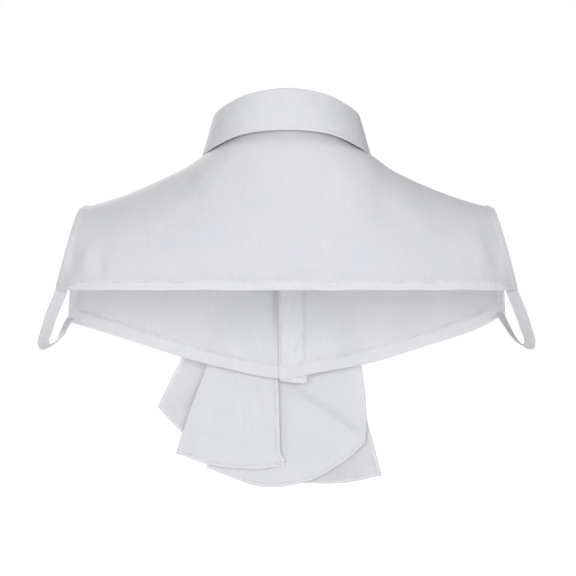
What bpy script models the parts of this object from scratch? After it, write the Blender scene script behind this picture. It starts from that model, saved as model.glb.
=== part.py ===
"""Ruffled jabot collar: a false shirt collar with short fronts and back, and a jabot that hangs on its front.

It keeps the hollow form that it has when worn. Sizes are in millimetres and become metres in the meshes.
+Z is up, the garment's front faces -Y and the wearer's left is +X. The origin is the middle of the neck
opening, level with the sides of the neck seam. Azimuth is the angle round the neck from its back, 0, past
the wearer's left side, 90, to its front, 180.
"""

import math

import bmesh
import bpy
import numpy as np

MM = 0.001

# cloth
WALL = 1.0  # shirting, drawn as thick as the thinnest wall kept
SEAM_GAP = 0.3  # between pieces that are sewn together
STAND_WALL = 1.6  # two layers and an interlining
ELASTIC_WALL = 1.2
LAYER = WALL + SEAM_GAP  # from one cloth's middle to the next one's

# general figure under the cloth
FIGURE_ROUNDNESS = 2.4  # exponent of the chest's plan curve
BACK_REACH, BACK_DEPTH = 212.0, 97.0  # half width and depth of the plan curve behind
FRONT_REACH, FRONT_DEPTH = 209.5, 115.0  # and in front
SHOULDER_TOP, SHOULDER_FALL, SHOULDER_CURVE = 4.9, 0.60, 0.0015  # height at the neck, slope, easing
SHOULDER_TIP = 185.5  # half width across the shoulder tips
NECK_SPREAD = 35.0  # how far out the neck seam still lifts or lowers the cloth

# back and front panels
BACK_HEM = -118.5
BACK_CORNER = 204.5  # half width at the back hem
FRONT_BASE = -212.0  # level where the front's curve would hang straight
FRONT_CORNER = 199.5
FRONT_HEM_ROWS = (  # the front hem, from the centre out
    {"x": -30.0, "z": -199.5},
    {"x": 0.0, "z": -202.0},
    {"x": 35.0, "z": -199.5},
    {"x": 75.0, "z": -188.6},
    {"x": 126.0, "z": -172.0},
    {"x": 174.0, "z": -156.0},
    {"x": 199.5, "z": -147.5},
)
NECK_COLUMNS, SHOULDER_COLUMNS, PANEL_ROWS = 11, 9, 11
STRIP_COLUMNS, CHEST_COLUMNS = 4, 9  # of a front's edge strip, and on to the side of the neck
NECK_HEM_SHARE = 0.52  # share of the hem that hangs from the neck seam, the rest from the shoulder seam

# neck opening and collar
NECK_SIDE, NECK_BACK, NECK_FRONT = 65.0, 61.5, 66.0  # from its middle, at the seam
STAND_SIDE, STAND_BACK, STAND_FRONT = 61.0, 60.0, 60.0  # at the stand's top
NECK_CLEAR = 1.8  # from the stand's middle to the panels' neck edge
FOLD_RISE = 3.5  # the fall's fold above the stand's top
ROLL = 2.2  # radius of that fold
COLLAR_LAP = 1.3  # each end of the stand and each front, off the middle where they lap
STAND_TUCK, LAP_LIFT = 0.6, 1.8  # the stand's edge below the panels' edge, and its rise where the fronts lap
STAND_LEFT_END, STAND_RIGHT_END = 198.0, 188.0  # azimuth that the lapping ends reach
FALL_END = 174.5
FALL_BELLY = 1.6  # how far the fall rounds out on its way down
COLLAR_ROWS = (  # a section every so many degrees: heights of the neck seam and of the fold
    {"azimuth": 0.0, "seam": 26.0, "fold": 59.0},
    {"azimuth": 30.0, "seam": 22.0, "fold": 55.0},
    {"azimuth": 60.0, "seam": 12.6, "fold": 45.6},
    {"azimuth": 90.0, "seam": 4.9, "fold": 38.9},
    {"azimuth": 120.0, "seam": -8.0, "fold": 25.0},
    {"azimuth": 150.0, "seam": -27.0, "fold": 3.0},
    {"azimuth": 180.0, "seam": -44.0, "fold": -18.0},
)
FALL_ROWS = (  # lower edge of the fall; the last row is the collar point
    {"azimuth": 0.0, "x": 0.0, "y": 72.5, "over": 0.0, "z": 21.3},
    {"azimuth": 30.0, "x": 37.0, "y": 63.0, "over": 0.0, "z": 18.3},
    {"azimuth": 60.0, "x": 64.5, "y": 37.0, "over": 0.0, "z": 8.3},
    {"azimuth": 90.0, "x": 75.6, "y": 2.0, "over": 1.9, "z": 0.9},
    {"azimuth": 115.0, "x": 72.0, "y": -27.0, "over": 2.0, "z": -8.0},
    {"azimuth": 140.0, "x": 63.0, "y": -52.0, "over": 2.2, "z": -26.0},
    {"azimuth": 160.0, "x": 54.0, "y": -71.0, "over": 2.6, "z": -45.0},
    {"azimuth": 174.5, "x": 46.0, "y": -85.0, "over": 3.0, "z": -60.0},
)

# front closing
LAP_EDGE = 19.0  # the left front's edge, past the middle on the wearer's right
UNDER_EDGE = 7.2  # the right front's edge, past the middle on the wearer's left
FACING_EDGE = 17.0  # far edge of the right front's inner strip
PLACKET_TAIL = 3.6  # how far the outer strip hangs past the hem
LAP_REACH, LAP_RUN = 12.0, 40.0  # each front keeps its own level that far out, then eases to the other's
GAPE, GAPE_END, GAPE_TOP = 2.4, -172.0, -122.0  # the right edge stands in, fully above GAPE_TOP
GAPE_REACH, GAPE_RUN = 18.0, 22.0  # how far out it is still seen, and over what width it grows
BUTTON_X, BUTTON_HEIGHTS = -6.5, (-32.0, -105.0, -176.0)
BUTTON_RADIUS, BUTTON_THICK = 5.0, 2.2

# elastic loops
ELASTIC_WIDTH = 9.6
ELASTIC_ROWS = (  # middle of the left loop, from the back's corner to the front's
    {"x": 199.4, "y": 33.5, "z": -119.8},
    {"x": 203.6, "y": 33.0, "z": -127.0},
    {"x": 208.0, "y": 31.0, "z": -139.0},
    {"x": 212.4, "y": 26.0, "z": -152.0},
    {"x": 216.4, "y": 17.0, "z": -164.5},
    {"x": 217.2, "y": 5.0, "z": -171.6},
    {"x": 214.6, "y": -8.0, "z": -171.4},
    {"x": 209.0, "y": -22.0, "z": -165.0},
    {"x": 202.2, "y": -34.0, "z": -156.0},
    {"x": 196.4, "y": -42.5, "z": -149.6},
)

# jabot: each row is a fold line or an edge; x at the level of the front hem and at its own hem, how far
# it lies before the hanging line at both, and its hem's height
JABOT_TOP, JABOT_LEVEL = -60.0, -190.0
STAND_OFF_TOP, STAND_OFF_LOW, STAND_OFF_RUN = 6.3, 10.4, 40.0  # hanging line off the chest, and how soon
UNDER_LEFT_ROWS = (
    {"level_x": 7.1, "hem_x": 3.4, "level_out": 0.0, "hem_out": 0.0, "hem_z": -285.3},
    {"level_x": 19.0, "hem_x": 25.0, "level_out": 0.0, "hem_out": -0.6, "hem_z": -288.3},
    {"level_x": 36.0, "hem_x": 50.0, "level_out": -0.6, "hem_out": -1.2, "hem_z": -287.4},
    {"level_x": 53.0, "hem_x": 74.0, "level_out": -0.4, "hem_out": -1.0, "hem_z": -284.2},
    {"level_x": 67.0, "hem_x": 92.0, "level_out": 0.0, "hem_out": 0.2, "hem_z": -278.2},
    {"level_x": 74.4, "hem_x": 103.0, "level_out": 1.3, "hem_out": 1.7, "hem_z": -273.6},
    {"level_x": 68.0, "hem_x": 95.0, "level_out": 2.7, "hem_out": 3.3, "hem_z": -274.6},
    {"level_x": 59.0, "hem_x": 84.0, "level_out": 3.0, "hem_out": 3.6, "hem_z": -277.0},
)
UNDER_RIGHT_ROWS = (
    {"level_x": 48.0, "hem_x": 74.0, "level_out": 5.2, "hem_out": 6.2, "hem_z": -287.6},
    {"level_x": 33.0, "hem_x": 55.0, "level_out": 5.6, "hem_out": 6.8, "hem_z": -296.0},
    {"level_x": 16.0, "hem_x": 27.0, "level_out": 5.8, "hem_out": 7.4, "hem_z": -305.4},
    {"level_x": -4.0, "hem_x": -3.0, "level_out": 5.6, "hem_out": 6.8, "hem_z": -304.8},
    {"level_x": -24.0, "hem_x": -29.0, "level_out": 5.4, "hem_out": 6.0, "hem_z": -296.8},
    {"level_x": -45.0, "hem_x": -54.0, "level_out": 5.0, "hem_out": 5.4, "hem_z": -281.6},
    {"level_x": -61.5, "hem_x": -69.6, "level_out": 5.0, "hem_out": 5.8, "hem_z": -269.0},
    {"level_x": -68.0, "hem_x": -74.0, "level_out": 5.2, "hem_out": 6.2, "hem_z": -263.6},
    {"level_x": -70.5, "hem_x": -75.4, "level_out": 5.6, "hem_out": 6.6, "hem_z": -256.0},
)
FRONT_ROWS = (
    {"level_x": 102.6, "hem_x": 122.4, "level_out": 11.0, "hem_out": 12.0, "hem_z": -230.5},
    {"level_x": 84.0, "hem_x": 100.0, "level_out": 12.0, "hem_out": 13.0, "hem_z": -253.6},
    {"level_x": 60.0, "hem_x": 76.0, "level_out": 13.0, "hem_out": 16.0, "hem_z": -272.0},
    {"level_x": 74.0, "hem_x": 95.0, "level_out": 19.0, "hem_out": 24.0, "hem_z": -260.0},
    {"level_x": 42.0, "hem_x": 52.0, "level_out": 23.0, "hem_out": 28.0, "hem_z": -280.0},
    {"level_x": 54.0, "hem_x": 75.0, "level_out": 29.0, "hem_out": 36.0, "hem_z": -271.0},
    {"level_x": 22.0, "hem_x": 27.0, "level_out": 32.0, "hem_out": 39.0, "hem_z": -287.0},
    {"level_x": 33.0, "hem_x": 48.0, "level_out": 38.0, "hem_out": 46.0, "hem_z": -282.0},
    {"level_x": 4.0, "hem_x": 8.0, "level_out": 41.0, "hem_out": 50.0, "hem_z": -296.0},
    {"level_x": -16.0, "hem_x": -20.0, "level_out": 40.0, "hem_out": 48.0, "hem_z": -298.0},
    {"level_x": -34.0, "hem_x": -48.0, "level_out": 35.0, "hem_out": 43.0, "hem_z": -293.0},
    {"level_x": -14.0, "hem_x": -20.0, "level_out": 30.0, "hem_out": 36.0, "hem_z": -299.0},
    {"level_x": -46.0, "hem_x": -66.0, "level_out": 24.0, "hem_out": 29.0, "hem_z": -293.0},
    {"level_x": -10.0, "hem_x": -9.0, "level_out": 14.0, "hem_out": 18.0, "hem_z": -301.6},
    {"level_x": -38.0, "hem_x": -52.0, "level_out": 12.0, "hem_out": 13.0, "hem_z": -303.0},
    {"level_x": -60.0, "hem_x": -90.6, "level_out": 11.0, "hem_out": 12.0, "hem_z": -295.6},
)
FLOUNCE_LEVELS = 10
FLOUNCES = {  # ends of the gathered top, its least distance out, depth of its gathers, columns for each row
    "jabot_under_left": {"low": 1.0, "high": 15.0, "out": -2.4, "gather": 0.8, "steps": 4},
    "jabot_under_right": {"low": -15.0, "high": 15.0, "out": 0.0, "gather": 0.8, "steps": 4},
    "jabot_front": {"low": -15.0, "high": 15.0, "out": 2.4, "gather": 2.2, "steps": 5},
}
FLOUNCE_ROWS = {
    "jabot_under_left": UNDER_LEFT_ROWS,
    "jabot_under_right": UNDER_RIGHT_ROWS,
    "jabot_front": FRONT_ROWS,
}
BAND_MIDDLE, BAND_HALF, BAND_THICK = -1.0, 17.5, 5.4
BAND_TOP, BAND_LOW, BAND_OUT = -51.0, -62.4, 6.6  # on the chest, and from it to the band's middle

MATERIALS = {
    "cotton shirting": {"colour": (0.72, 0.73, 0.76), "roughness": 0.82},
    "elastic": {"colour": (0.80, 0.80, 0.81), "roughness": 0.70},
    "button resin": {"colour": (0.84, 0.84, 0.82), "roughness": 0.28},
}


def clear_scene():
    for obj in list(bpy.data.objects):
        bpy.data.objects.remove(obj, do_unlink=True)


def smooth_step(value):
    share = min(max(value, 0.0), 1.0)
    return share * share * (3.0 - 2.0 * share)


def along(rows, key, column, at):
    """A table's column read between its rows on a smooth curve that passes through each."""
    keys = [row[key] for row in rows]
    values = [row[column] for row in rows]
    at = min(max(at, keys[0]), keys[-1])
    i = min(max(int(np.searchsorted(keys, at)) - 1, 0), len(keys) - 2)
    step = keys[i + 1] - keys[i]
    share = (at - keys[i]) / step
    slopes = []
    for j in (i, i + 1):
        low, high = max(j - 1, 0), min(j + 1, len(keys) - 1)
        slopes.append((values[high] - values[low]) / (keys[high] - keys[low]) * step)
    square, cube = share * share, share * share * share
    return (
        (2 * cube - 3 * square + 1) * values[i]
        + (cube - 2 * square + share) * slopes[0]
        + (3 * square - 2 * cube) * values[i + 1]
        + (cube - square) * slopes[1]
    )


def with_far_side(rows, past_end):
    """An azimuth table with a row from the wearer's other side, so that it is level at 0 and 180."""
    before = dict(rows[1], azimuth=-rows[1]["azimuth"])
    if "x" in before:
        before["x"] = -before["x"]
    after = [dict(rows[-2], azimuth=360.0 - rows[-2]["azimuth"])] if past_end else []
    return [before, *rows, *after]


def counted(rows):
    """The rows numbered from 0, for tables whose rows follow each other along the cloth."""
    return [dict(row, number=float(i)) for i, row in enumerate(rows)]


def plan_depth(x, behind):
    reach, depth = (BACK_REACH, BACK_DEPTH) if behind else (FRONT_REACH, FRONT_DEPTH)
    return depth * (1.0 - (abs(x) / reach) ** FIGURE_ROUNDNESS) ** (1.0 / FIGURE_ROUNDNESS)


def shoulder_height(x):
    """Height of the figure's shoulder line, rounded over inside the neck opening."""
    out = abs(x) - NECK_SIDE
    if out >= 0.0:
        return SHOULDER_TOP - SHOULDER_FALL * out + SHOULDER_CURVE * out * out
    return SHOULDER_TOP + SHOULDER_FALL * NECK_SIDE / 2.0 * (1.0 - (x / NECK_SIDE) ** 2)


def base_level(behind):
    return BACK_HEM if behind else FRONT_BASE


def seam_height(azimuth):
    turned = abs(azimuth)
    return along(with_far_side(COLLAR_ROWS, True), "azimuth", "seam", min(turned, 360.0 - turned))


def fold_height(azimuth):
    turned = abs(azimuth)
    return along(with_far_side(COLLAR_ROWS, True), "azimuth", "fold", min(turned, 360.0 - turned))


def neck_lift(x, y, behind):
    """How much the neck seam raises or lowers the cloth at a place in plan, where the cloth lies level."""
    depth = NECK_BACK if behind else NECK_FRONT
    wide, deep = x / NECK_SIDE, y / depth
    radius = math.hypot(wide, deep)
    at_x, at_y = x / radius, y / radius
    level = math.sqrt(1.0 - (at_y / plan_depth(at_x, behind)) ** 2)
    rise = shoulder_height(at_x) - base_level(behind)
    missing = seam_height(math.degrees(math.atan2(wide, deep))) - base_level(behind) - rise * level
    return missing / level * math.exp(-(((radius - 1.0) * NECK_SIDE / NECK_SPREAD) ** 2))


def figure_point(x, turn, behind):
    """A point of the worn form: turn is 0 on the shoulder line and a right angle where it hangs straight."""
    y = plan_depth(x, behind) * math.sin(turn) * (1.0 if behind else -1.0)
    rise = shoulder_height(x) - base_level(behind) + neck_lift(x, y, behind)
    return (x, y, base_level(behind) + rise * math.cos(turn))


def front_surface(x, z, out):
    """A place on the chest at a height, moved straight out of it, and that direction."""
    low, high = math.radians(20.0), math.pi / 2.0
    for _ in range(40):
        middle = (low + high) / 2.0
        if figure_point(x, middle, False)[2] > z:
            low = middle
        else:
            high = middle
    here = np.array(figure_point(x, low, False))
    near = np.array(figure_point(x, low - 0.02, False))
    run = (here - near) / np.linalg.norm(here - near)
    normal = np.array((0.0, run[2], -run[1]))
    return here + normal * out, normal


def turn_at(x, y, behind):
    return math.asin(min(abs(y) / plan_depth(x, behind), 1.0))


def panel_height(x, y, behind):
    return figure_point(x, turn_at(x, y, behind), behind)[2]


def ring_point(azimuth, side, back, front):
    angle = math.radians(azimuth)
    deep = math.cos(angle)
    return side * math.sin(angle), (back if deep > 0.0 else front) * deep


def outward(azimuth, side, back, front):
    """The level direction straight out of the ring."""
    angle = math.radians(azimuth)
    depth = back if math.cos(angle) > 0.0 else front
    wide, deep = math.sin(angle) / side, math.cos(angle) / depth
    length = math.hypot(wide, deep)
    return wide / length, deep / length


def hem_turn(x):
    """Where the front reaches its hem."""
    level = along(FRONT_HEM_ROWS, "x", "z", x)
    return math.acos((level - FRONT_BASE) / (shoulder_height(x) - FRONT_BASE))


def column(top, bottom, at_tip, rows):
    """Points down one line of a panel, from (x, turn) to (x, turn)."""
    behind = top["behind"]
    points = []
    for j in range(rows + 1):
        share = j / rows
        turn = top["turn"] + (bottom["turn"] - top["turn"]) * share
        fallen = (math.cos(top["turn"]) - math.cos(turn)) / (math.cos(top["turn"]) - math.cos(bottom["turn"]))
        swept = fallen if behind else math.sin(fallen * math.pi / 2.0)
        across = share + (swept - share) * at_tip
        points.append(figure_point(top["x"] + (bottom["x"] - top["x"]) * across, turn, behind))
    return points


def back_column(share):
    """share is 0 at the centre back and 1 on the armhole edge."""
    neck_share = NECK_COLUMNS / (NECK_COLUMNS + SHOULDER_COLUMNS)
    if share <= neck_share:
        part = share / neck_share
        x, y = ring_point(
            90.0 * part, NECK_SIDE + NECK_CLEAR, NECK_BACK + NECK_CLEAR, NECK_FRONT
        )
        y = max(y, SEAM_GAP / 2.0)
        hem_x = BACK_CORNER * NECK_HEM_SHARE * part
        at_tip = 0.0
    else:
        at_tip = (share - neck_share) / (1.0 - neck_share)
        x = NECK_SIDE + NECK_CLEAR + (SHOULDER_TIP - NECK_SIDE - NECK_CLEAR) * at_tip
        y = SEAM_GAP / 2.0
        hem_x = BACK_CORNER * (NECK_HEM_SHARE + (1.0 - NECK_HEM_SHARE) * at_tip)
    top = {"x": x, "turn": turn_at(x, y, True), "behind": True}
    return column(top, {"x": hem_x, "turn": math.pi / 2.0}, at_tip, PANEL_ROWS)


def front_points(edge, strip_end):
    """One front as if on the wearer's left: its edge strip's columns, then the chest's and the shoulder's."""
    clear_side, clear_front = NECK_SIDE + NECK_CLEAR, NECK_FRONT + NECK_CLEAR
    places = []
    for i in range(STRIP_COLUMNS):
        x = edge + (strip_end - edge) * i / STRIP_COLUMNS
        places.append((math.asin(x / clear_side), x, 0.0))
    start = math.asin(strip_end / clear_side)
    for i in range(CHEST_COLUMNS + 1):
        part = i / CHEST_COLUMNS
        hem_x = strip_end + (FRONT_CORNER * NECK_HEM_SHARE - strip_end) * part
        places.append((start + (math.pi / 2.0 - start) * part, hem_x, 0.0))
    for i in range(1, SHOULDER_COLUMNS + 1):
        at_tip = i / SHOULDER_COLUMNS
        hem_x = FRONT_CORNER * (NECK_HEM_SHARE + (1.0 - NECK_HEM_SHARE) * at_tip)
        places.append((math.pi / 2.0, hem_x, at_tip))
    lines = []
    for angle, hem_x, at_tip in places:
        x = clear_side * math.sin(angle) + (SHOULDER_TIP - clear_side) * at_tip
        y = min(-clear_front * math.cos(angle), -SEAM_GAP / 2.0)
        top = {"x": x, "turn": turn_at(x, y, False), "behind": False}
        lines.append(column(top, {"x": hem_x, "turn": hem_turn(hem_x)}, at_tip, PANEL_ROWS))
    return np.array(lines)


def moved_out(points, distance):
    """The grid moved along its own normals; distance is a number or an array of one for each point."""
    across = np.gradient(points, axis=0)
    down = np.gradient(points, axis=1)
    normal = np.cross(across, down)
    normal /= np.linalg.norm(normal, axis=2, keepdims=True)
    facing_out = np.sign(np.sum(normal[..., :2] * points[..., :2]))
    distance = np.broadcast_to(distance, points.shape[:2])
    return points + normal * facing_out * distance[..., None]


def lap_distance(x):
    return COLLAR_LAP * (1.0 - smooth_step((x - LAP_REACH) / LAP_RUN))


def gape_distance(x, z):
    """How far the right front's free edge stands in from the left front, x measured past the middle."""
    near_edge = smooth_step((GAPE_REACH - x) / GAPE_RUN)
    low = smooth_step((z - GAPE_END) / (GAPE_TOP - GAPE_END))
    return GAPE * near_edge * low


def left_front():
    """The left front's points before it is moved out to lap the right one."""
    return front_points(-LAP_EDGE, UNDER_EDGE)


def right_front():
    """The right front's points, mirrored to the wearer's left."""
    return front_points(-UNDER_EDGE, FACING_EDGE)


def laps_of(points):
    return np.array([[lap_distance(p[0]) for p in line] for line in points])


def gapes_of(points):
    return np.array([[gape_distance(p[0], p[2]) for p in line] for line in points])


def placket_points():
    """The left front's edge strip, moved out of it, with a tail past the hem."""
    strip = left_front()[: STRIP_COLUMNS + 1]
    strip = moved_out(strip, COLLAR_LAP + LAYER)
    tail = strip[:, -1:] - np.array((0.0, 0.0, PLACKET_TAIL))
    return np.concatenate([strip, tail], axis=1)


def facing_points():
    strip = right_front()[: STRIP_COLUMNS + 1]
    return moved_out(strip, -COLLAR_LAP - LAYER - gapes_of(strip))


def stand_edge(azimuth):
    """Height of the stand's lower edge: just inside the panels' neck edge, and above it at the front laps."""
    x, y = ring_point(
        azimuth, NECK_SIDE + NECK_CLEAR, NECK_BACK + NECK_CLEAR, NECK_FRONT + NECK_CLEAR
    )
    turned = min(abs(azimuth), 360.0 - abs(azimuth))
    return panel_height(x, y, y > 0.0) - STAND_TUCK + LAP_LIFT * smooth_step((turned - 140.0) / 25.0)


def stand_shift(azimuth):
    """The stand's ends part where they lap: the left one out, the right one in."""
    return COLLAR_LAP * smooth_step((abs(azimuth) - 148.0) / 22.0) * (1.0 if azimuth > 0.0 else -1.0)


def stand_grid():
    columns, rows = 56, 2
    lines = []
    for i in range(columns + 1):
        azimuth = -STAND_RIGHT_END + (STAND_LEFT_END + STAND_RIGHT_END) * i / columns
        low_x, low_y = ring_point(azimuth, NECK_SIDE, NECK_BACK, NECK_FRONT)
        top_x, top_y = ring_point(azimuth, STAND_SIDE, STAND_BACK, STAND_FRONT)
        out_x, out_y = outward(azimuth, STAND_SIDE, STAND_BACK, STAND_FRONT)
        low_z, top_z = stand_edge(azimuth), fold_height(azimuth) - FOLD_RISE
        shift = stand_shift(azimuth)
        line = []
        for j in range(rows + 1):
            share = j / rows
            line.append(
                (
                    low_x + (top_x - low_x) * share + out_x * shift,
                    low_y + (top_y - low_y) * share + out_y * shift,
                    low_z + (top_z - low_z) * share,
                )
            )
        lines.append(line)
    return np.array(lines)


def fall_line(azimuth):
    """The fall's section: up from the stand's top, over the fold and down to its lower edge."""
    side = 1.0 if azimuth >= 0.0 else -1.0
    turned = abs(azimuth)
    x, y = ring_point(azimuth, STAND_SIDE, STAND_BACK, STAND_FRONT)
    out_x, out_y = outward(azimuth, STAND_SIDE, STAND_BACK, STAND_FRONT)
    shift = stand_shift(azimuth)
    start_z = fold_height(azimuth) - FOLD_RISE + SEAM_GAP + WALL / 2.0
    line = []
    for degrees in (180.0, 135.0, 90.0, 45.0, 5.0):
        angle = math.radians(degrees)
        out = ROLL * (1.0 + math.cos(angle)) + shift
        line.append((x + out_x * out, y + out_y * out, start_z + ROLL * math.sin(angle)))
    rows = with_far_side(FALL_ROWS, False)
    edge_x = along(rows, "azimuth", "x", turned) * side
    edge_y = along(rows, "azimuth", "y", turned)
    edge_z = along(rows, "azimuth", "z", turned)
    if turned > 90.0:
        edge_z = panel_height(edge_x, edge_y, False) + along(rows, "azimuth", "over", turned)
    start = np.array(line[-1])
    end = np.array((edge_x, edge_y, edge_z))
    belly = np.array((out_x, out_y, 0.0)) * FALL_BELLY
    for share in (0.2, 0.45, 0.72, 1.0):
        line.append(tuple(start + (end - start) * share + belly * math.sin(math.pi * share)))
    return line


def fall_grid():
    columns = 50
    return np.array([fall_line(-FALL_END + 2.0 * FALL_END * i / columns) for i in range(columns + 1)])


def hanging_line():
    """Heights, depths and slopes of the line behind the jabot: over the chest, then straight down."""
    turns = np.radians(np.linspace(89.0, 20.0, 139))
    chest = np.array([figure_point(0.0, turn, False) for turn in turns])
    heights, depths = chest[:, 2], chest[:, 1]
    slopes = np.gradient(depths, heights)
    share = np.clip((JABOT_TOP - heights) / STAND_OFF_RUN, 0.0, 1.0)
    share = share * share * (3.0 - 2.0 * share)
    off = STAND_OFF_TOP + (STAND_OFF_LOW - STAND_OFF_TOP) * share
    lean = np.sqrt(1.0 + slopes * slopes)
    heights, depths = heights + off * slopes / lean, depths - off / lean
    return heights, depths, np.gradient(depths, heights)


def flounce_points(rows, low, high, out, gather, steps):
    """A flounce from its fold table: gathered at the top between two x, opening downwards."""
    heights, depths, slopes = hanging_line()
    table = counted(rows)
    last = len(rows) - 1
    lines = []
    for i in range(last * steps + 1):
        at = i / steps
        level_x, hem_x, level_out, hem_out, hem_z = (
            along(table, "number", name, at)
            for name in ("level_x", "hem_x", "level_out", "hem_out", "hem_z")
        )
        top_x = high + (low - high) * at / last
        top_out = out + gather * (1.0 - math.cos(math.pi * at)) / 2.0
        level = (JABOT_TOP - JABOT_LEVEL) / (JABOT_TOP - hem_z)
        line = []
        for j in range(FLOUNCE_LEVELS + 1):
            share = j / FLOUNCE_LEVELS
            top_part = (share - level) * (share - 1.0) / level
            level_part = share * (share - 1.0) / (level * (level - 1.0))
            hem_part = share * (share - level) / (1.0 - level)
            x = top_part * top_x + level_part * level_x + hem_part * hem_x
            off = top_part * top_out + level_part * level_out + hem_part * hem_out
            z = JABOT_TOP + (hem_z - JABOT_TOP) * share
            slope = float(np.interp(z, heights, slopes))
            lean = math.sqrt(1.0 + slope * slope)
            line.append((x, float(np.interp(z, heights, depths)) - off / lean, z + off * slope / lean))
        lines.append(line)
    return np.array(lines)


def band_points():
    """The band that holds the gathers, on the placket's slope just above them."""
    columns, rows = 8, 3
    lines = []
    for i in range(columns + 1):
        x = BAND_MIDDLE + BAND_HALF * (2.0 * i / columns - 1.0)
        heights = [BAND_TOP + (BAND_LOW - BAND_TOP) * j / rows for j in range(rows + 1)]
        lines.append([front_surface(x, z, BAND_OUT)[0] for z in heights])
    return np.array(lines)


def elastic_grid(side):
    """A flat band along its route, its width across the wearer."""
    table = counted(ELASTIC_ROWS)
    last = len(ELASTIC_ROWS) - 1
    steps = 26
    middle = np.array(
        [
            [along(table, "number", axis, last * i / steps) for axis in ("x", "y", "z")]
            for i in range(steps + 1)
        ]
    )
    middle[:, 0] *= side
    run = np.gradient(middle, axis=0)
    run /= np.linalg.norm(run, axis=1, keepdims=True)
    wide = np.array((1.0, 0.0, 0.0)) - run * run[:, :1]
    wide /= np.linalg.norm(wide, axis=1, keepdims=True)
    return np.stack([middle + wide * ELASTIC_WIDTH * share for share in (-0.5, 0.0, 0.5)], axis=1)


def give_material(obj, name):
    values = MATERIALS[name]
    material = bpy.data.materials.new(obj.name + " " + name)
    material.use_nodes = True
    shader = material.node_tree.nodes["Principled BSDF"]
    shader.inputs["Base Color"].default_value = (*values["colour"], 1.0)
    shader.inputs["Roughness"].default_value = values["roughness"]
    shader.inputs["Metallic"].default_value = 0.0
    obj.data.materials.append(material)


def add_object(name, mesh, material):
    obj = bpy.data.objects.new(name, mesh)
    bpy.context.scene.collection.objects.link(obj)
    give_material(obj, material)
    mesh.shade_smooth()
    mesh.set_sharp_from_angle(angle=math.radians(50.0))
    return obj


def cloth_piece(name, points, wall, material="cotton shirting"):
    """A closed wall round a grid of points, which lies in the wall's middle."""
    columns, rows = points.shape[:2]
    shape = bmesh.new()
    verts = [[shape.verts.new(tuple(p * MM)) for p in line] for line in points]
    for i in range(columns - 1):
        for j in range(rows - 1):
            shape.faces.new((verts[i][j], verts[i + 1][j], verts[i + 1][j + 1], verts[i][j + 1]))
    mesh = bpy.data.meshes.new(name)
    shape.to_mesh(mesh)
    shape.free()
    obj = add_object(name, mesh, material)
    thicken = obj.modifiers.new("Cloth wall", "SOLIDIFY")
    thicken.thickness = wall * MM
    thicken.offset = 0.0
    return obj


def mirrored(points):
    return points * np.array((-1.0, 1.0, 1.0))


def add_button(name, place, normal):
    """A turned disc with a raised rim, its back at place and its face along normal."""
    profile = (
        (0.0, 0.0),
        (BUTTON_RADIUS * 0.86, 0.0),
        (BUTTON_RADIUS, BUTTON_THICK * 0.35),
        (BUTTON_RADIUS, BUTTON_THICK * 0.75),
        (BUTTON_RADIUS * 0.9, BUTTON_THICK),
        (BUTTON_RADIUS * 0.74, BUTTON_THICK),
        (BUTTON_RADIUS * 0.62, BUTTON_THICK * 0.72),
        (0.0, BUTTON_THICK * 0.66),
    )
    shape = bmesh.new()
    verts = [shape.verts.new((radius * MM, 0.0, height * MM)) for radius, height in profile]
    edges = [shape.edges.new(pair) for pair in zip(verts[:-1], verts[1:])]
    bmesh.ops.spin(
        shape,
        geom=verts + edges,
        cent=(0.0, 0.0, 0.0),
        axis=(0.0, 0.0, 1.0),
        angle=math.tau,
        steps=18,
        use_merge=True,
    )
    bmesh.ops.remove_doubles(shape, verts=shape.verts, dist=0.01 * MM)
    bmesh.ops.recalc_face_normals(shape, faces=shape.faces)
    mesh = bpy.data.meshes.new(name)
    shape.to_mesh(mesh)
    shape.free()
    obj = add_object(name, mesh, "button resin")
    tilt = math.atan2(normal[2], -normal[1])
    obj.rotation_euler = (math.pi / 2.0 - tilt, 0.0, 0.0)
    obj.location = tuple(np.array(place) * MM)
    return obj


def add_panels():
    total = NECK_COLUMNS + SHOULDER_COLUMNS
    half = np.array([back_column(i / total) for i in range(total + 1)])
    cloth_piece("back_panel", np.concatenate([mirrored(half)[:0:-1], half]), WALL)
    left, right = left_front(), right_front()
    cloth_piece("front_left", moved_out(left, laps_of(left)), WALL)
    cloth_piece("front_right", mirrored(moved_out(right, -laps_of(right) - gapes_of(right))), WALL)
    cloth_piece("placket_left", placket_points(), WALL)
    cloth_piece("facing_right", mirrored(facing_points()), WALL)


def add_collar():
    cloth_piece("collar_stand", stand_grid(), STAND_WALL)
    cloth_piece("collar_fall", fall_grid(), WALL)


def add_jabot():
    for name, values in FLOUNCES.items():
        cloth_piece(name, flounce_points(FLOUNCE_ROWS[name], **values), WALL)
    cloth_piece("jabot_band", band_points(), BAND_THICK)


def add_loops():
    for name, side in (("elastic_loop_left", 1.0), ("elastic_loop_right", -1.0)):
        cloth_piece(name, elastic_grid(side), ELASTIC_WALL, "elastic")


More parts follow.
